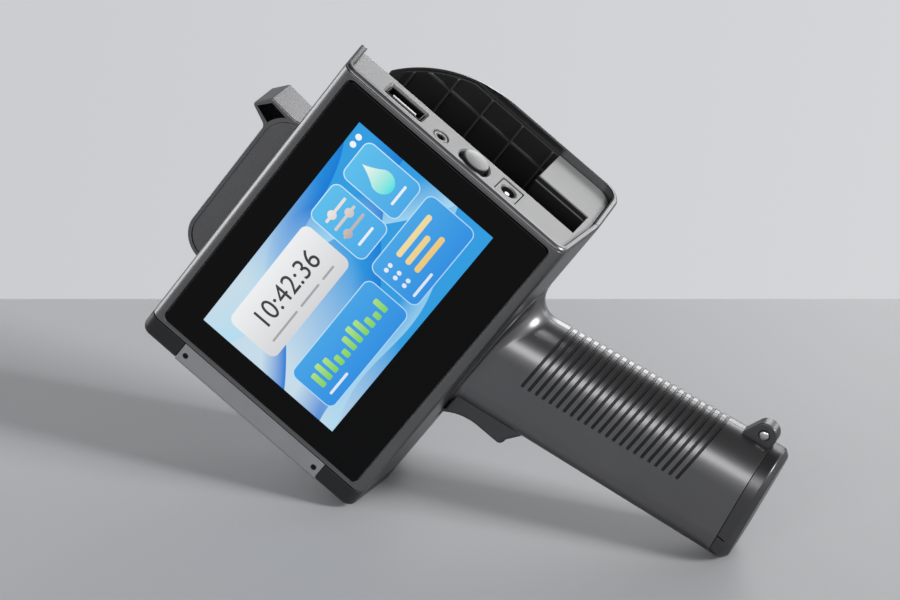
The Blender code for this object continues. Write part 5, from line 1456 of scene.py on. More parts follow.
@dataclass(frozen=True)
class PrintNose(Assembly):
    """The dark nose cap, the folded steel plate across it and the two rollers."""

    edge_r: float = 0.0030
    plate_t: float = 0.0010
    plate_half: float = 0.0352
    bend_r: float = 0.0016
    screw_z: float = 0.0324
    screw_setback: float = 0.0046
    bore_r: float = 0.0012
    bore_y: float = 0.0080
    window_w: float = 0.0140
    window_h: float = 0.0180
    roller_r: float = 0.0035
    roller_l: float = 0.0064
    roller_z: float = 0.0410
    roller_proud: float = 0.0004
    clearance: float = 0.0004
    bore: float = 0.0013
    screw_sunk: float = 0.00065

    def build(self) -> None:
        """Puts the cap, the plate, its screws and the rollers in place."""
        tools = self.bores()
        self.build_cap(tools.copy())
        self.build_plate(tools)
        shared = {"head_r": 0.0011, "recess_r": 0.00062, "recess_depth": 0.0006}
        for name, y, outward, nodes in (
            ("nose_screws_front", self.screw_sunk, -1, ("nose_screw_1", "nose_screw_2")),
            ("nose_screws_back", FORM.depth - self.screw_sunk, 1, ("nose_screw_3", "nose_screw_4")),
        ):
            places = tuple((self.screw_x(), y, z) for z in (self.screw_z, -self.screw_z))
            Fastener(self.finishes, name, places=places, outward=outward, **shared).build(nodes)
        self.build_roller("guide", self.roller_z, Rides.GUIDE)
        self.build_roller("encoder", -self.roller_z, Rides.ENCODER)

    def screw_x(self) -> float:
        """Where the plate's screws are along the body."""
        return -FORM.nose_reach + self.screw_setback

    def roller_x(self) -> float:
        """Where the rollers' axles are along the body."""
        return -FORM.nose_reach - self.roller_proud + self.roller_r

    def bores(self) -> bpy.types.Mesh:
        """The four screw bores as one tool."""
        x = self.screw_x()
        tools = []
        for z in (-self.screw_z, self.screw_z):
            for y0, y1 in ((-OVERRUN, self.bore_y), (FORM.depth - self.bore_y, FORM.depth + OVERRUN)):
                tools.append(prism(circle(x, z, self.bore_r), Axis.Y, [(y0, 0.0), (y1, 0.0)]))
        return joined(*tools)

    def build_cap(self, bores: bpy.types.Mesh) -> None:
        """The dark moulding at the end of the body."""
        cap_x = FORM.frame_x0 - FIT
        out_x = -FORM.nose_reach - OVERRUN
        rear_x = cap_x + OVERRUN
        block = prism(FORM.outline(), Axis.X, soft_ends(-FORM.nose_reach, cap_x, self.edge_r, EDGE, 8))
        seat_x = -FORM.nose_reach + self.plate_t + FIT
        seat_y = self.plate_t + FIT
        far_y = FORM.depth + OVERRUN
        fold = [(out_x, -OVERRUN), (rear_x, -OVERRUN), (rear_x, seat_y), (seat_x, seat_y)]
        fold += [(seat_x, FORM.depth - seat_y), (rear_x, FORM.depth - seat_y)]
        fold += [(rear_x, far_y), (out_x, far_y)]
        seat = self.plate_half + FIT
        reach = self.roller_r + self.clearance
        half_l = self.roller_l / 2 + self.clearance
        deep = self.roller_x() + reach
        mid = FORM.parting_y
        pockets = [bar(out_x, deep, mid - reach, mid + reach, z - half_l, z + half_l)
                   for z in (-self.roller_z, self.roller_z)]
        cap = worked(
            block, Cut.AWAY, prism(fold, Axis.Z, [(-seat, 0.0), (seat, 0.0)]),
            FORM.window(out_x, rear_x, FORM.nozzle_w, FORM.nozzle_h), bores, joined(*pockets))
        self.put("nose_moulding", cap, "dark_plastic", replaces=("nose_cap",))

    def build_plate(self, bores: bpy.types.Mesh) -> None:
        """The folded steel plate with the print window."""
        end_x = FORM.frame_x0 - FIT / 2
        front = -FORM.nose_reach
        bend = self.bend_r
        thick = self.plate_t
        outline = [(end_x, 0.0)] + arc(front + bend, bend, bend, 270, 180, 8)
        outline += arc(front + bend, FORM.depth - bend, bend, 180, 90, 8) + [(end_x, FORM.depth)]
        outline += [(end_x, FORM.depth - thick), (front + thick, FORM.depth - thick)]
        outline += [(front + thick, thick), (end_x, thick)]
        block = prism(outline, Axis.Z, soft_ends(-self.plate_half, self.plate_half, 0.0002, 0.0002, 3))
        window = FORM.window(front - OVERRUN, front + OVERRUN, self.window_w, self.window_h)
        plate = worked(block, Cut.AWAY, window, bores)
        self.put("steel_plate", plate, "nose_steel", replaces=("nose_plate",))

    def build_roller(self, label: str, z: float, rides: Rides) -> None:
        """A rubber roller with a ribbed tread.

        Args:
            label: Which roller it is.
            z: Its height on the nose.
            rides: The body that turns.
        """
        core_r = self.roller_r - 0.00025
        half = self.roller_l / 2
        upper = [(core_r, half - EDGE), (core_r - EDGE, half), (self.bore, half)]
        profile = [(r, -h) for r, h in reversed(upper)] + upper
        turn = Matrix.Translation((self.roller_x(), FORM.parting_y, z))
        core = skin([placed(circle(0, 0, r, 48), turn, h) for r, h in profile], looped=True)
        sizes = {"Ribs": 24, "Radius": self.roller_r - 0.0002, "Length": self.roller_l - 0.0008,
                 "Width": 0.0004}
        tree = Repeat(f"{label}_tread", sizes)
        links = {"Vertices": tree.size("Ribs"), "Radius": tree.size("Radius")}
        ring = tree.node("GeometryNodeMeshCircle", None, links)
        size = tree.vector(tree.size("Width"), tree.size("Width"), tree.size("Length"))
        rib = tree.node("GeometryNodeMeshCube", None, {"Size": size})
        outward = tree.node("GeometryNodeInputPosition").outputs[0]
        facing = tree.node("FunctionNodeAlignEulerToVector", {"axis": "X"}, {"Vector": outward})
        spread = tree.node("GeometryNodeInstanceOnPoints", None, {
            "Points": ring.outputs[0], "Instance": rib.outputs["Mesh"], "Rotation": facing.outputs[0]})
        tread = tree.made([spread.outputs[0]], self.finishes["rubber"])
        tread.transform(turn)
        self.put(f"{label}_tyre", joined(core, tread), "rubber", rides, (f"{label}_roller",))


@dataclass(frozen=True)
class RearFace(Assembly):
    """The L-shaped rear panel with its sockets and the power button."""

    panel_x: float = 0.0665
    rear_bar: float = 0.0027
    notch_y: float = 0.0385
    notch_z: float = -0.0498
    usb: tuple = (0.0124, 0.0276, 0.0070, 0.0162)
    usb_wall: float = 0.0006
    tongue_t: float = 0.0010
    tongue_h: float = 0.0112
    jack: tuple = (0.0102, 0.0097, 0.0031)
    jack_bore_r: float = 0.0018
    button: tuple = (0.0114, -0.0059, 0.0064)
    button_proud: float = 0.0021
    button_cap_r: float = 0.0053
    dome: float = 0.0004
    dc: tuple = (0.0126, -0.0222, 0.0104, 0.0094)
    dc_bore_r: float = 0.0032
    socket_back: float = 0.0518
    bore_depth: float = 0.0095

    def build(self) -> None:
        """Puts the panel, its sockets, the button and the notch's black sheet of painted shade in place."""
        self.build_panel()
        self.build_jack()
        self.build_usb()
        self.build_dc()
        self.build_button()
        back = FORM.panel_back_x
        side = self.notch_y
        foot = self.notch_z + 0.0002
        # Painted shade: a thin black sheet over the notch's side wall, which is in shade
        lining = bar(back + LAP, self.panel_x - 0.0002, side - 0.0006, side - 0.0001, foot, FORM.ledge_z)
        self.put("notch_shade_sheet", lining, "black_plastic")
        trim = bar(back - 0.0001, back + EDGE, side - 0.0010, side - 0.0001, foot, FORM.ledge_z)
        self.put("notch_trim", trim, "panel_plastic")

    def build_panel(self) -> None:
        """The panel with its holes."""
        middle = FORM.front_half - FORM.front_edge_r
        strip_y = FORM.bay_y - FIT
        gap = FORM.wall
        _, lower = FORM.back_arcs(gap)
        outline = [(self.rear_bar + FIT, -middle), (self.rear_bar + FIT, middle)]
        outline += [(FORM.front_edge_r, FORM.front_half - gap), (strip_y, FORM.side_at(strip_y) - gap)]
        outline += [(strip_y, self.notch_z), (self.notch_y, self.notch_z)]
        outline += [(self.notch_y, FORM.ledge_z), (FORM.depth - FORM.wall - FIT, FORM.ledge_z)] + lower
        outline += [(FORM.parting_y, -FORM.waist_half + gap), (FORM.front_edge_r, -FORM.front_half + gap)]
        block = prism(outline, Axis.X, soft_ends(FORM.panel_back_x, self.panel_x, 0.0, 0.00035))
        holes = []
        for (y, z, w, h), flare in ((self.usb, 0.0010), (self.dc, 0.0002)):
            hole = rounded(y - w / 2 - FIT, y + w / 2 + FIT, z - h / 2 - FIT, z + h / 2 + FIT, 0.0004)
            holes.append(self.mouth(hole, flare))
        for (y, z, r), flare in ((self.jack, 0.0002), (self.button, 0.0006)):
            holes.append(self.mouth(circle(y, z, r + FIT, 64), flare))
        panel = worked(block, Cut.AWAY, joined(*holes))
        self.put("rear_panel", panel, "panel_plastic", replaces=("port_panel",))

    def mouth(self, outline: Outline, flare: float) -> bpy.types.Mesh:
        """A tool for a hole through the panel with a bevelled mouth."""
        past = 0.0002
        stations = [(FORM.panel_back_x - OVERRUN, 0.0), (self.panel_x - flare, 0.0)]
        return prism(outline, Axis.X, stations + [(self.panel_x + past, -flare - past)])

    def bore_ends(self) -> tuple[float, float]:
        """Where a socket's lip and the bottom of its bore are."""
        return self.panel_x - FIT, self.panel_x - self.bore_depth

    def build_jack(self) -> None:
        """The small round jack."""
        y, z, r = self.jack
        lip, bore_x = self.bore_ends()
        bore = self.jack_bore_r
        shoulder = FORM.panel_back_x - FIT
        collar = r + 0.0010
        profile = [(0.0, bore_x), (bore, bore_x), (bore, lip - EDGE), (bore + EDGE, lip), (r - EDGE, lip)]
        profile += [(r, lip - EDGE), (r, shoulder), (collar, shoulder), (collar, self.socket_back)]
        jack = lathe(profile + [(0.0, self.socket_back)], Axis.X, (0, y, z), 48)
        self.put("round_jack", jack, "black_plastic", replaces=("sensor_jack",),
                 material=self.finishes["panel_plastic"])
        # Painted shade in the jack's bore, on a jack whose own slot is black plastic as well
        self.put_bore_shade("jack_bore_shade", (y, z), bore - 0.00002, bore - 0.0003, bore_x + 0.0001, lip - LAP)

    def put_bore_shade(self, name: str, place: tuple, outer: float, inner: float, start: float,
                   end: float) -> None:
        """Painted shade: lines a round bore of the rear face with black.

        Args:
            name: Name of the piece.
            place: Middle of the bore in (y, z).
            outer: Outer radius.
            inner: Inner radius.
            start: Where it starts, at the bottom of the bore.
            end: Where it ends, in the mouth.
        """
        profile = [(0.0, start), (outer, start), (outer, end), (inner, end), (inner, start + EDGE)]
        profile += [(0.0, start + EDGE)]
        self.put(name, lathe(profile, Axis.X, (0, *place), 48), "black_plastic")

    def build_usb(self) -> None:
        """The sheet-metal socket and its tongue."""
        y, z, w, h = self.usb
        lip, bore_x = self.bore_ends()
        outer = rounded(y - w / 2, y + w / 2, z - h / 2, z + h / 2, 0.0007)
        tube = prism(outer, Axis.X, soft_ends(self.socket_back, lip, 0.0, 0.0002, 3))
        stations = [(bore_x, 0.0), (lip - EDGE, 0.0), (lip + 0.0005, -self.usb_wall)]
        inner = prism(inset(outer, self.usb_wall), Axis.X, stations)
        self.put("usb_shell", worked(tube, Cut.AWAY, inner), "bright_steel", replaces=("usb_socket",),
                 material=self.finishes["black_steel"])
        half = self.tongue_t / 2
        tongue = rounded(y - half, y + half, z - self.tongue_h / 2, z + self.tongue_h / 2, half * 0.6)
        ends = soft_ends(bore_x + FIT, self.panel_x - 4 * FIT, 0.0, 0.0002, 3)
        self.put("usb_blade", prism(tongue, Axis.X, ends), "white_plastic", replaces=("usb_tongue",))

    def build_dc(self) -> None:
        """The square DC socket with its round bore."""
        y, z, w, h = self.dc
        lip, bore_x = self.bore_ends()
        block = prism(rounded(y - w / 2, y + w / 2, z - h / 2, z + h / 2, 0.0008), Axis.X,
                      soft_ends(self.socket_back, lip, 0.0, 0.0002, 3))
        stations = [(bore_x, 0.0), (lip - 0.0005, 0.0), (lip + 0.0004, -0.0009)]
        bore = prism(circle(y, z, self.dc_bore_r), Axis.X, stations)
        self.put("dc_block", worked(block, Cut.AWAY, bore), "panel_plastic", replaces=("dc_socket",))
        hole = self.dc_bore_r
        # Painted shade: a black tube in the DC socket's bore
        self.put_bore_shade("dc_bore_shade", (y, z), hole - 0.00002, hole - 0.0003, bore_x + 0.0001, lip - 0.0006)

    def build_button(self) -> None:
        """The domed power button, and a black ring of painted shade under its cap."""
        y, z, hole_r = self.button
        r = self.button_cap_r
        top = self.panel_x + self.button_proud
        flange_x = FORM.panel_back_x - FIT
        edge = LAP
        shoulder = top - self.dome
        profile = [((r - edge) * i / 12, top - self.dome * (i / 12) ** 2) for i in range(13)]
        for t in (math.pi / 2 * i / 6 for i in range(1, 7)):
            profile.append((r - edge + edge * math.sin(t), shoulder - edge * (1 - math.cos(t))))
        low = shoulder - edge
        profile += [(r, low - 0.0002), (0.0, low - 0.0002)]
        cap = lathe(profile, Axis.X, (0, y, z), 64)
        self.put("button_cap", cap, "panel_plastic", Rides.BUTTON, ("power_button",))
        out = hole_r + 0.0006
        stem_r = 0.0022
        under_x = flange_x - 0.0014
        stem_x = flange_x - 0.0038
        # Painted shade: a black piece under the cap's rim, for the shade in the gap round the button
        gap_shade = [(0.0, low - EDGE), (r, low - EDGE), (r, flange_x), (out, flange_x)]
        gap_shade += [(out, under_x), (stem_r, under_x), (stem_r, stem_x), (0.0, stem_x)]
        self.put("button_gap_shade", lathe(gap_shade, Axis.X, (0, y, z), 64), "black_plastic", Rides.BUTTON)


@dataclass(frozen=True)
class CartridgeBay(Assembly):
    """The ribbed lining at the back of the bay and the contacts at its front."""

    liner_t: float = 0.0015
    rib_h: float = 0.0012
    rib_root: float = 0.0006
    rib_w: float = 0.0008
    rib_pitch: float = 0.0150
    rib_x: float = 0.0580
    rib_z: float = 0.0366
    columns: int = 8
    rows: int = 5
    top: float = 0.0395
    front_x: float = -0.0540
    edge: float = 0.0010
    rear_x: float = 0.0663
    contact_x: float = -0.0589
    contact_y: float = 0.0255

    def build(self) -> None:
        """Puts the lining and the contact pads in place."""
        self.build_liner()
        self.build_contacts()

    def liner_outline(self) -> Outline:
        """The lining in (x, z): it follows the bay's large round corner."""
        start = math.degrees(math.acos((self.rear_x - FORM.corner_x) / (FORM.corner_r - self.edge)))
        low = FORM.ledge_z + FIT
        outline = [(self.front_x, low), (self.rear_x, low)] + FORM.bay_arc(self.edge, start, self.top)
        return outline + [(self.front_x, self.top)]

    def build_liner(self) -> None:
        """A thin back plate with a grid of upright and level ribs on it."""
        back_y = FORM.depth - FORM.wall - FIT
        face_y = back_y - self.liner_t
        rib_y = face_y - self.rib_h
        outline = self.liner_outline()
        plate = prism(outline, Axis.Y, [(face_y, 0.0), (back_y, 0.0)])
        tall = self.rib_h + self.rib_root
        sizes = {"Columns": self.columns, "Rows": self.rows, "Pitch": self.rib_pitch, "Rib width": self.rib_w,
                 "Rib height": tall, "Length": 0.2}
        tree = Repeat("bay_ribs", sizes)
        wide = tree.size("Rib width")
        high = tree.size("Rib height")
        long = tree.size("Length")
        back = tree.times("Pitch", -1.0)
        shapes = []
        for count, size, step in (("Columns", (wide, high, long), {"x": back}),
                                  ("Rows", (long, high, wide), {"z": back})):
            rib = tree.node("GeometryNodeMeshCube", None, {"Size": tree.vector(*size)})
            links = {"Count": tree.size(count), "Offset": tree.vector(**step)}
            line = tree.node("GeometryNodeMeshLine", {"mode": "OFFSET"}, links)
            shapes.append(tree.spread(rib.outputs["Mesh"], line.outputs[0]))
        ribs = tree.made(shapes, self.finishes["black_plastic"])
        ribs.transform(Matrix.Translation((self.rib_x, rib_y + tall / 2, self.rib_z)))
        parts = self.loose(ribs)
        room = prism(outline, Axis.Y, [(rib_y + 0.00001, 0.0), (back_y - EDGE, 0.0)])
        kept = [worked(part, Cut.WITHIN, room.copy()) for part in parts]
        kept = [part for part in kept if len(part.polygons)]
        self.put("bay_lining", plate, "black_plastic", replaces=("bay_liner",))
        ribs = worked(kept[0], Cut.ON, *kept[1:])
        # Painted light: the ribs are lighter than their dark plastic, for the light on their faces
        self.put("bay_ribs", ribs, "dark_plastic", material=self.finishes["rib_painted_light_grey"])

    def loose(self, mesh: bpy.types.Mesh) -> list[bpy.types.Mesh]:
        """Parts a mesh of separate boxes into one mesh for each.

        Args:
            mesh: Boxes of eight corners each, one after another.

        Returns:
            One mesh for each box.
        """
        points = [tuple(vertex.co) for vertex in mesh.vertices]
        boxes = []
        for first in range(0, len(points), 8):
            corners = points[first:first + 8]
            spans = [(min(c[k] for c in corners), max(c[k] for c in corners)) for k in range(3)]
            boxes.append(bar(*spans[0], *spans[1], *spans[2]))
        return boxes

    def build_contacts(self) -> None:
        """Rows of gilt pads on the contact board."""
        sizes = {"Across": 4, "Up": 13, "Width": 0.0048, "Height": 0.0320, "Pad": 0.0010,
                 "Pad thickness": 0.0003}
        tree = Repeat("contact_pads", sizes)
        grid = tree.node("GeometryNodeMeshGrid", None, {
            "Size X": tree.size("Width"), "Size Y": tree.size("Height"),
            "Vertices X": tree.size("Across"), "Vertices Y": tree.size("Up")})
        size = tree.vector(tree.size("Pad"), tree.size("Pad"), tree.size("Pad thickness"))
        pad = tree.node("GeometryNodeMeshCube", None, {"Size": size})
        gilt = self.finishes["gold_contacts"]
        pads = tree.made([tree.spread(pad.outputs["Mesh"], grid.outputs["Mesh"])], gilt)
        pads.transform(Matrix.Translation((self.contact_x, self.contact_y, 0.0)) @ Axis.X.matrix())
        self.put("contact_pads", pads, "circuit_board", material=gilt)


@dataclass(frozen=True)
class Latch(Assembly):
    """The cartridge latch: a long rounded lever with a hollow finger hook."""

    y0: float = 0.0215
    y1: float = 0.0395
    radius: float = 0.0122
    front_x: float = -0.0355
    rear_x: float = 0.0138
    mid_z: float = 0.0530
    rim: float = 0.0016
    sunk: float = 0.0006
    tip: tuple = (0.0193, 0.0733)
    back: tuple = (0.0262, 0.0694)
    foot_x: float = 0.0150
    sag: float = 0.0014
    wall: float = 0.0015
    pivot_z: float = 0.0503
    pin_r: float = 0.0016
    spring_r: float = 0.0050
    spring_l: float = 0.0062
    face_gap: float = 0.00035
    edge: float = 0.0005

    def outline(self) -> Outline:
        """The lever in (x, z)."""
        points = arc(self.front_x, self.mid_z, self.radius, 90, 270, 40)
        points += arc(self.rear_x, self.mid_z, self.radius, -90, 20, 30)
        points += [(self.back[0], self.back[1] - self.sag / 2), (self.back[0] - self.sag / 2, self.back[1])]
        points += [(self.tip[0] + self.sag / 2, self.tip[1]), self.tip]
        points += [(self.tip[0] - self.sag / 2, self.tip[1] - self.sag / 2)]
        top = self.mid_z + self.radius
        knee = (self.foot_x + self.sag / 2, top + self.sag)
        return points + [knee] + quadratic(knee, (self.foot_x, top), (self.foot_x - self.sag, top), 6)

    def stadium(self, draw: float) -> Outline:
        """The lever's long rounded face, drawn in."""
        points = arc(self.front_x, self.mid_z, self.radius - draw, 90, 270, 40)
        return points + arc(self.rear_x, self.mid_z, self.radius - draw, -90, 90, 40)

    def build(self) -> None:
        """Puts the lever and its inlaid face in place."""
        lever = prism(self.outline(), Axis.Y, soft_ends(self.y0, self.y1, self.edge, self.edge))
        hollow = arc(self.rear_x, self.mid_z, self.radius, 75, 36, 12)
        hollow += [(self.back[0] - self.wall, self.back[1] - self.wall)]
        hollow += [(self.tip[0] + self.sag / 4, self.tip[1] - self.wall)]
        far = self.y1 + OVERRUN
        near = self.y0 - OVERRUN
        lever = worked(
            lever, Cut.AWAY,
            prism(self.stadium(self.rim), Axis.Y, [(near, 0.0), (self.y0 + self.sunk, 0.0)]),
            prism(hollow, Axis.Y, [(near, 0.0), (self.y1 - self.wall, 0.0)]),
            prism(circle(self.front_x, self.pivot_z, self.spring_r), Axis.Y,
                  [(self.y1 - self.spring_l, 0.0), (far, 0.0)]),
            prism(circle(self.front_x, self.pivot_z, self.pin_r), Axis.Y, [(near, 0.0), (far, 0.0)]))
        self.put("lever", lever, "housing_plastic", Rides.LATCH, ("latch_lever",))
        inlay = prism(self.stadium(self.rim + self.face_gap), Axis.Y,
                      soft_ends(self.y0 + 0.0001, self.y0 + self.sunk - 0.00002, 0.00025, 0.0))
        pin = prism(circle(self.front_x, self.pivot_z, self.pin_r + 0.0001), Axis.Y,
                    [(near, 0.0), (far, 0.0)])
        self.put("lever_face", worked(inlay, Cut.AWAY, pin), "housing_plastic", Rides.LATCH)


@dataclass(frozen=True)
class Trigger(Assembly):
    """The trigger with a hollowed front, round edges and a pocket that takes its spring."""

    width: float = 0.0160
    top: tuple = (-0.0316, -0.0548)
    bend: tuple = (-0.0254, -0.0614)
    waist: tuple = (-0.0254, -0.0700)
    tip: tuple = (-0.0253, -0.0786)
    toe_r: float = 0.0034
    bottom_z: float = -0.0845
    back_x: float = -0.0095
    pivot: tuple = (-0.0120, -0.0616)
    hub_r: float = 0.0042
    edge_r: float = 0.0017
    spring_z: float = -0.0780
    spring_room_r: float = 0.0044
    spring_room: float = 0.0037
    bore_r: float = 0.0018

    def outline(self) -> Outline:
        """The trigger in (x, z)."""
        toe = (self.tip[0] + self.toe_r, self.tip[1] - self.toe_r * 0.7)
        start = -math.degrees(math.acos((self.back_x - self.pivot[0]) / self.hub_r))
        points = [self.top] + quadratic(self.top, self.bend, self.waist, 16)
        points += [self.tip] + quadratic(self.tip, (self.tip[0], toe[1]), toe, 8)
        points += [(self.back_x - self.toe_r * 2, self.bottom_z), (self.back_x, self.bottom_z)]
        points += arc(*self.pivot, self.hub_r, start, 90, 24)
        return points + [(self.pivot[0] - 0.0012, self.top[1])]

    def build(self) -> None:
        """Puts the trigger in place."""
        half = self.width / 2
        ends = soft_ends(FORM.parting_y - half, FORM.parting_y + half, self.edge_r, self.edge_r, 5)
        block = prism(self.outline(), Axis.Y, ends)
        bore = prism(circle(*self.pivot, self.bore_r), Axis.Y, [(0.0, 0.0), (0.07, 0.0)])
        pocket = prism(circle(FORM.parting_y, self.spring_z, self.spring_room_r), Axis.X,
                       [(self.back_x - self.spring_room, 0.0), (self.back_x + OVERRUN, 0.0)])
        lever = worked(block, Cut.AWAY, bore, pocket)
        self.put("finger_lever", lever, "dark_plastic", Rides.TRIGGER, ("trigger",),
                 material=self.finishes["dark_satin"])


@dataclass(frozen=True)
class GripEnd(Assembly):
    """The cap that closes the end of the grip."""

    edge: float = 0.0005
    gap: float = 0.0001
    slot: tuple = (0.01175, 0.01235, 0.0150, 0.0176, -0.1674, -0.1641)

    def build(self) -> None:
        """Puts the cap, with the small slot beside its seam, in place."""
        seam = GRIP.end_z + GRIP.cap_h - self.gap
        low = GRIP.end_z
        chamfer = GRIP.chamfer
        steps = [(GRIP.seam_edge, seam), (0.0, seam - GRIP.seam_edge), (0.0, low + chamfer + self.edge)]
        steps += [(0.0001, low + chamfer), (EDGE, low + chamfer - EDGE), (chamfer - EDGE, low + EDGE)]
        steps += [(chamfer, low + 0.0001), (chamfer + self.edge, low)]
        cap = worked(skin([GRIP.slanted(*step) for step in steps]), Cut.AWAY, bar(*self.slot))
        self.put("end_cap", cap, "housing_plastic", replaces=("grip_end_cap",),
                 material=self.finishes["dark_satin"])


# Studio

@dataclass(frozen=True)
class Lamp:
    """A soft oblong lamp that points at the printer."""

    name: str
    place: Point
    width: float
    height: float
    watts: float
    aim: Point = (0.0, 0.0, 0.08)

    def build(self) -> None:
        """Hangs the lamp."""
        data = bpy.data.lights.new(self.name, "AREA")
        data.shape = "RECTANGLE"
        data.size = self.width
        data.size_y = self.height
        data.energy = self.watts
        obj = bpy.data.objects.new(self.name, data)
        obj.location = self.place
        way = Vector(self.aim) - Vector(self.place)
        obj.rotation_mode = "QUATERNION"
        obj.rotation_quaternion = way.to_track_quat("-Z", "Y")
        obj.visible_camera = False
        bpy.context.scene.collection.objects.link(obj)


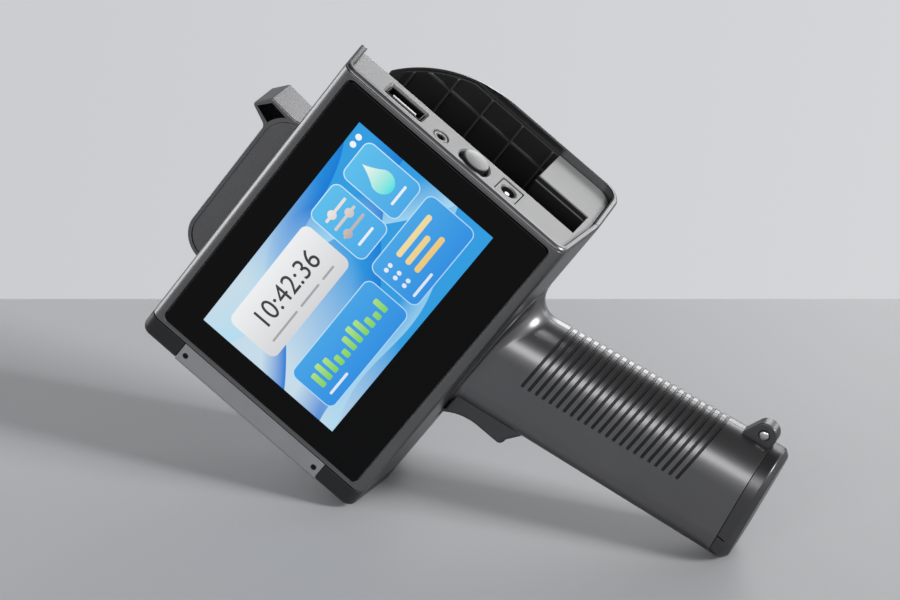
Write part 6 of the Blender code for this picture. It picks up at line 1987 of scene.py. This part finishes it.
@dataclass(frozen=True)
class Studio:
    """The table, the pale backdrop, the lamps and the camera."""

    width: int = 900
    height: int = 600
    horizon_row: float = 299.0
    focal_px: float = 3830.74
    sensor: float = 36.0
    camera_place: Point = (0.70552, -1.23914, -0.08124)
    right: Point = (0.56049899, 0.33915051, -0.75552486)
    down: Point = (-0.67315958, -0.34482046, -0.65418272)
    forward: Point = (-0.48238683, 0.87525755, 0.03503089)
    table_t: float = 0.03

    def build(self) -> None:
        """Sets up everything round the printer."""
        self.build_camera()
        self.build_table()
        self.build_world()
        for lamp in (
            Lamp("key", (7.00, -0.28, 3.50), 2.1, 2.1, 480.0),
            Lamp("back", (-0.09, 1.62, 0.55), 0.5, 0.75, 6.4),
            Lamp("edge", (-1.50, 0.22, 0.22), 0.9, 0.36, 4.2),
            Lamp("rim", (0.88, 1.50, 0.40), 0.6, 0.55, 4.2),
            Lamp("front", (0.05, -2.00, 0.95), 1.3, 0.8, 9.0),
            Lamp("glint", (0.19, 0.555, 0.37), 0.2, 0.2, 0.4),
        ):
            lamp.build()
        bpy.context.scene.view_settings.view_transform = "Standard"

    def frame(self) -> tuple[Vector, Vector, Vector, Vector]:
        """The camera's place and its right, down and forward directions in the row frame."""
        turn = LAID_DOWN.to_3x3()
        ways = [(turn @ Vector(way)).normalized() for way in (self.right, self.down, self.forward)]
        return (LAID_DOWN @ Vector(self.camera_place), *ways)

    def build_camera(self) -> None:
        """The camera at the photograph's view."""
        place, right, down, forward = self.frame()
        data = bpy.data.cameras.new("camera")
        data.sensor_width = self.sensor
        data.lens = self.sensor * self.focal_px / self.width
        data.clip_start = 0.05
        data.clip_end = 50.0
        obj = bpy.data.objects.new("camera", data)
        turn = Matrix((right, -down, -forward)).transposed()
        obj.matrix_world = Matrix.Translation(place) @ turn.to_4x4()
        bpy.context.scene.collection.objects.link(obj)
        bpy.context.scene.camera = obj

    def on_table(self, column: float, row: float) -> Vector:
        """The place on the table that a pixel of the picture shows."""
        place, right, down, forward = self.frame()
        ray = forward * self.focal_px + right * (column - self.width / 2) + down * (row - self.height / 2)
        return place - ray * (place.z / ray.z)

    def build_table(self) -> None:
        """A pale table top whose far edge lies on the picture's horizon, with painted light across it."""
        left = self.on_table(0, self.horizon_row)
        along = (self.on_table(self.width, self.horizon_row) - left).normalized()
        near = Vector((along.y, -along.x, 0.0))
        start = left - along * 3
        end = left + along * 4
        corners = [start, end, end + near * 4, start + near * 4]
        top = [tuple(corner.to_2d()) for corner in corners]
        mesh = prism(top, Axis.Z, [(-self.table_t, 0.0), (0.0, 0.0)])
        shade = Shade("table_top")
        fine = shade.noise(1400.0, 2.0)
        spot = shade.node("ShaderNodeTexCoord").outputs["Object"]
        split = shade.node("ShaderNodeSeparateXYZ", None, {0: spot})
        # Painted light: lighter to the left and darker to the right, for the fall of the key light
        across = (Value(shade, split.outputs["X"]) * 1.25 + 0.5).clamped()
        colour = shade.mix(across, (0.575, 0.579, 0.597), (0.488, 0.492, 0.507))
        relief = shade.bump(fine, 0.00001)
        shade.dress(Base_Color=colour, Roughness=0.55, Specular_IOR_Level=0.10, Normal=relief)
        mesh.materials.append(shade.material)
        table = bpy.data.objects.new("table", mesh)
        bpy.context.scene.collection.objects.link(table)

    def build_world(self) -> None:
        """A pale backdrop, and an even light from all round."""
        world = bpy.data.worlds.new("backdrop")
        bpy.context.scene.world = world
        world.use_nodes = True
        nodes = Nodes(world.node_tree)
        light = world.node_tree.nodes["Background"]
        nodes.feed(light.inputs["Color"], (0.97, 0.98, 1.0))
        nodes.feed(light.inputs["Strength"], 0.22)
        way = nodes.node("ShaderNodeTexCoord").outputs["Generated"]
        split = nodes.node("ShaderNodeSeparateXYZ", None, {0: way})
        range_x = {"Value": split.outputs["X"], "From Min": -0.40, "From Max": -0.18}
        range_z = {"Value": split.outputs["Z"], "From Min": 0.55, "From Max": 0.85}
        across = nodes.node("ShaderNodeMapRange", None, range_x)
        up = nodes.node("ShaderNodeMapRange", {"interpolation_type": "SMOOTHSTEP"}, range_z)
        pale = nodes.mix(across.outputs["Result"], (0.605, 0.61, 0.632), (0.665, 0.67, 0.688))
        colour = nodes.mix(up.outputs["Result"], pale, (0.08, 0.08, 0.085))
        wall = nodes.node("ShaderNodeBackground", None, {"Color": colour, "Strength": 1.0})
        ray = nodes.node("ShaderNodeLightPath").outputs
        either = {"operation": "MAXIMUM"}
        seen = nodes.node("ShaderNodeMath", either, {0: ray["Is Camera Ray"], 1: ray["Is Glossy Ray"]})
        seen = nodes.node("ShaderNodeMath", either, {0: seen.outputs[0], 1: ray["Is Transmission Ray"]})
        shaders = {0: seen.outputs[0], 1: light.outputs[0], 2: wall.outputs[0]}
        choice = nodes.node("ShaderNodeMixShader", None, shaders)
        nodes.feed(world.node_tree.nodes["World Output"].inputs["Surface"], choice.outputs[0])


def dress_solids(frame: dict, finishes: Finishes) -> None:
    """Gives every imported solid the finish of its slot.

    Args:
        frame: What the frame's loading returned.
        finishes: The finishes.
    """
    for part in frame["record"]["subparts"]:
        solid = frame["nodes"][part["node"]]
        solid.data.materials.clear()
        solid.data.materials.append(finishes[part["material_slot"]])


def main() -> None:
    """Builds the studio and every sub-assembly."""
    logging.basicConfig(level=logging.INFO, format="%(name)s: %(message)s")
    for obj in list(bpy.data.objects):
        bpy.data.objects.remove(obj, do_unlink=True)
    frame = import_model()
    finishes = Finishes()
    dress_solids(frame, finishes)
    Studio().build()
    for assembly in (Shell, Display, PrintNose, RearFace, CartridgeBay, Latch, Trigger, GripEnd):
        LOG.info("building %s", assembly.__name__)
        assembly(finishes).build()
    head_h = 0.0020
    places = [(x, Shell.body_seat_y + FIT + head_h / 2, z) for x, z in Shell.body_bores]
    places += [(x, Shell.grip_seat_y + FIT + head_h / 2, z) for x, z in Shell.grip_bores]
    case = Fastener(finishes, "case_screws", head_r=0.0028, head_h=head_h, recess_r=0.0013,
                    recess_depth=0.0016, places=tuple(places))
    case.build(("case_screw_1", "case_screw_2", "grip_screw_1", "grip_screw_2"))


if __name__ == "__main__":
    main()
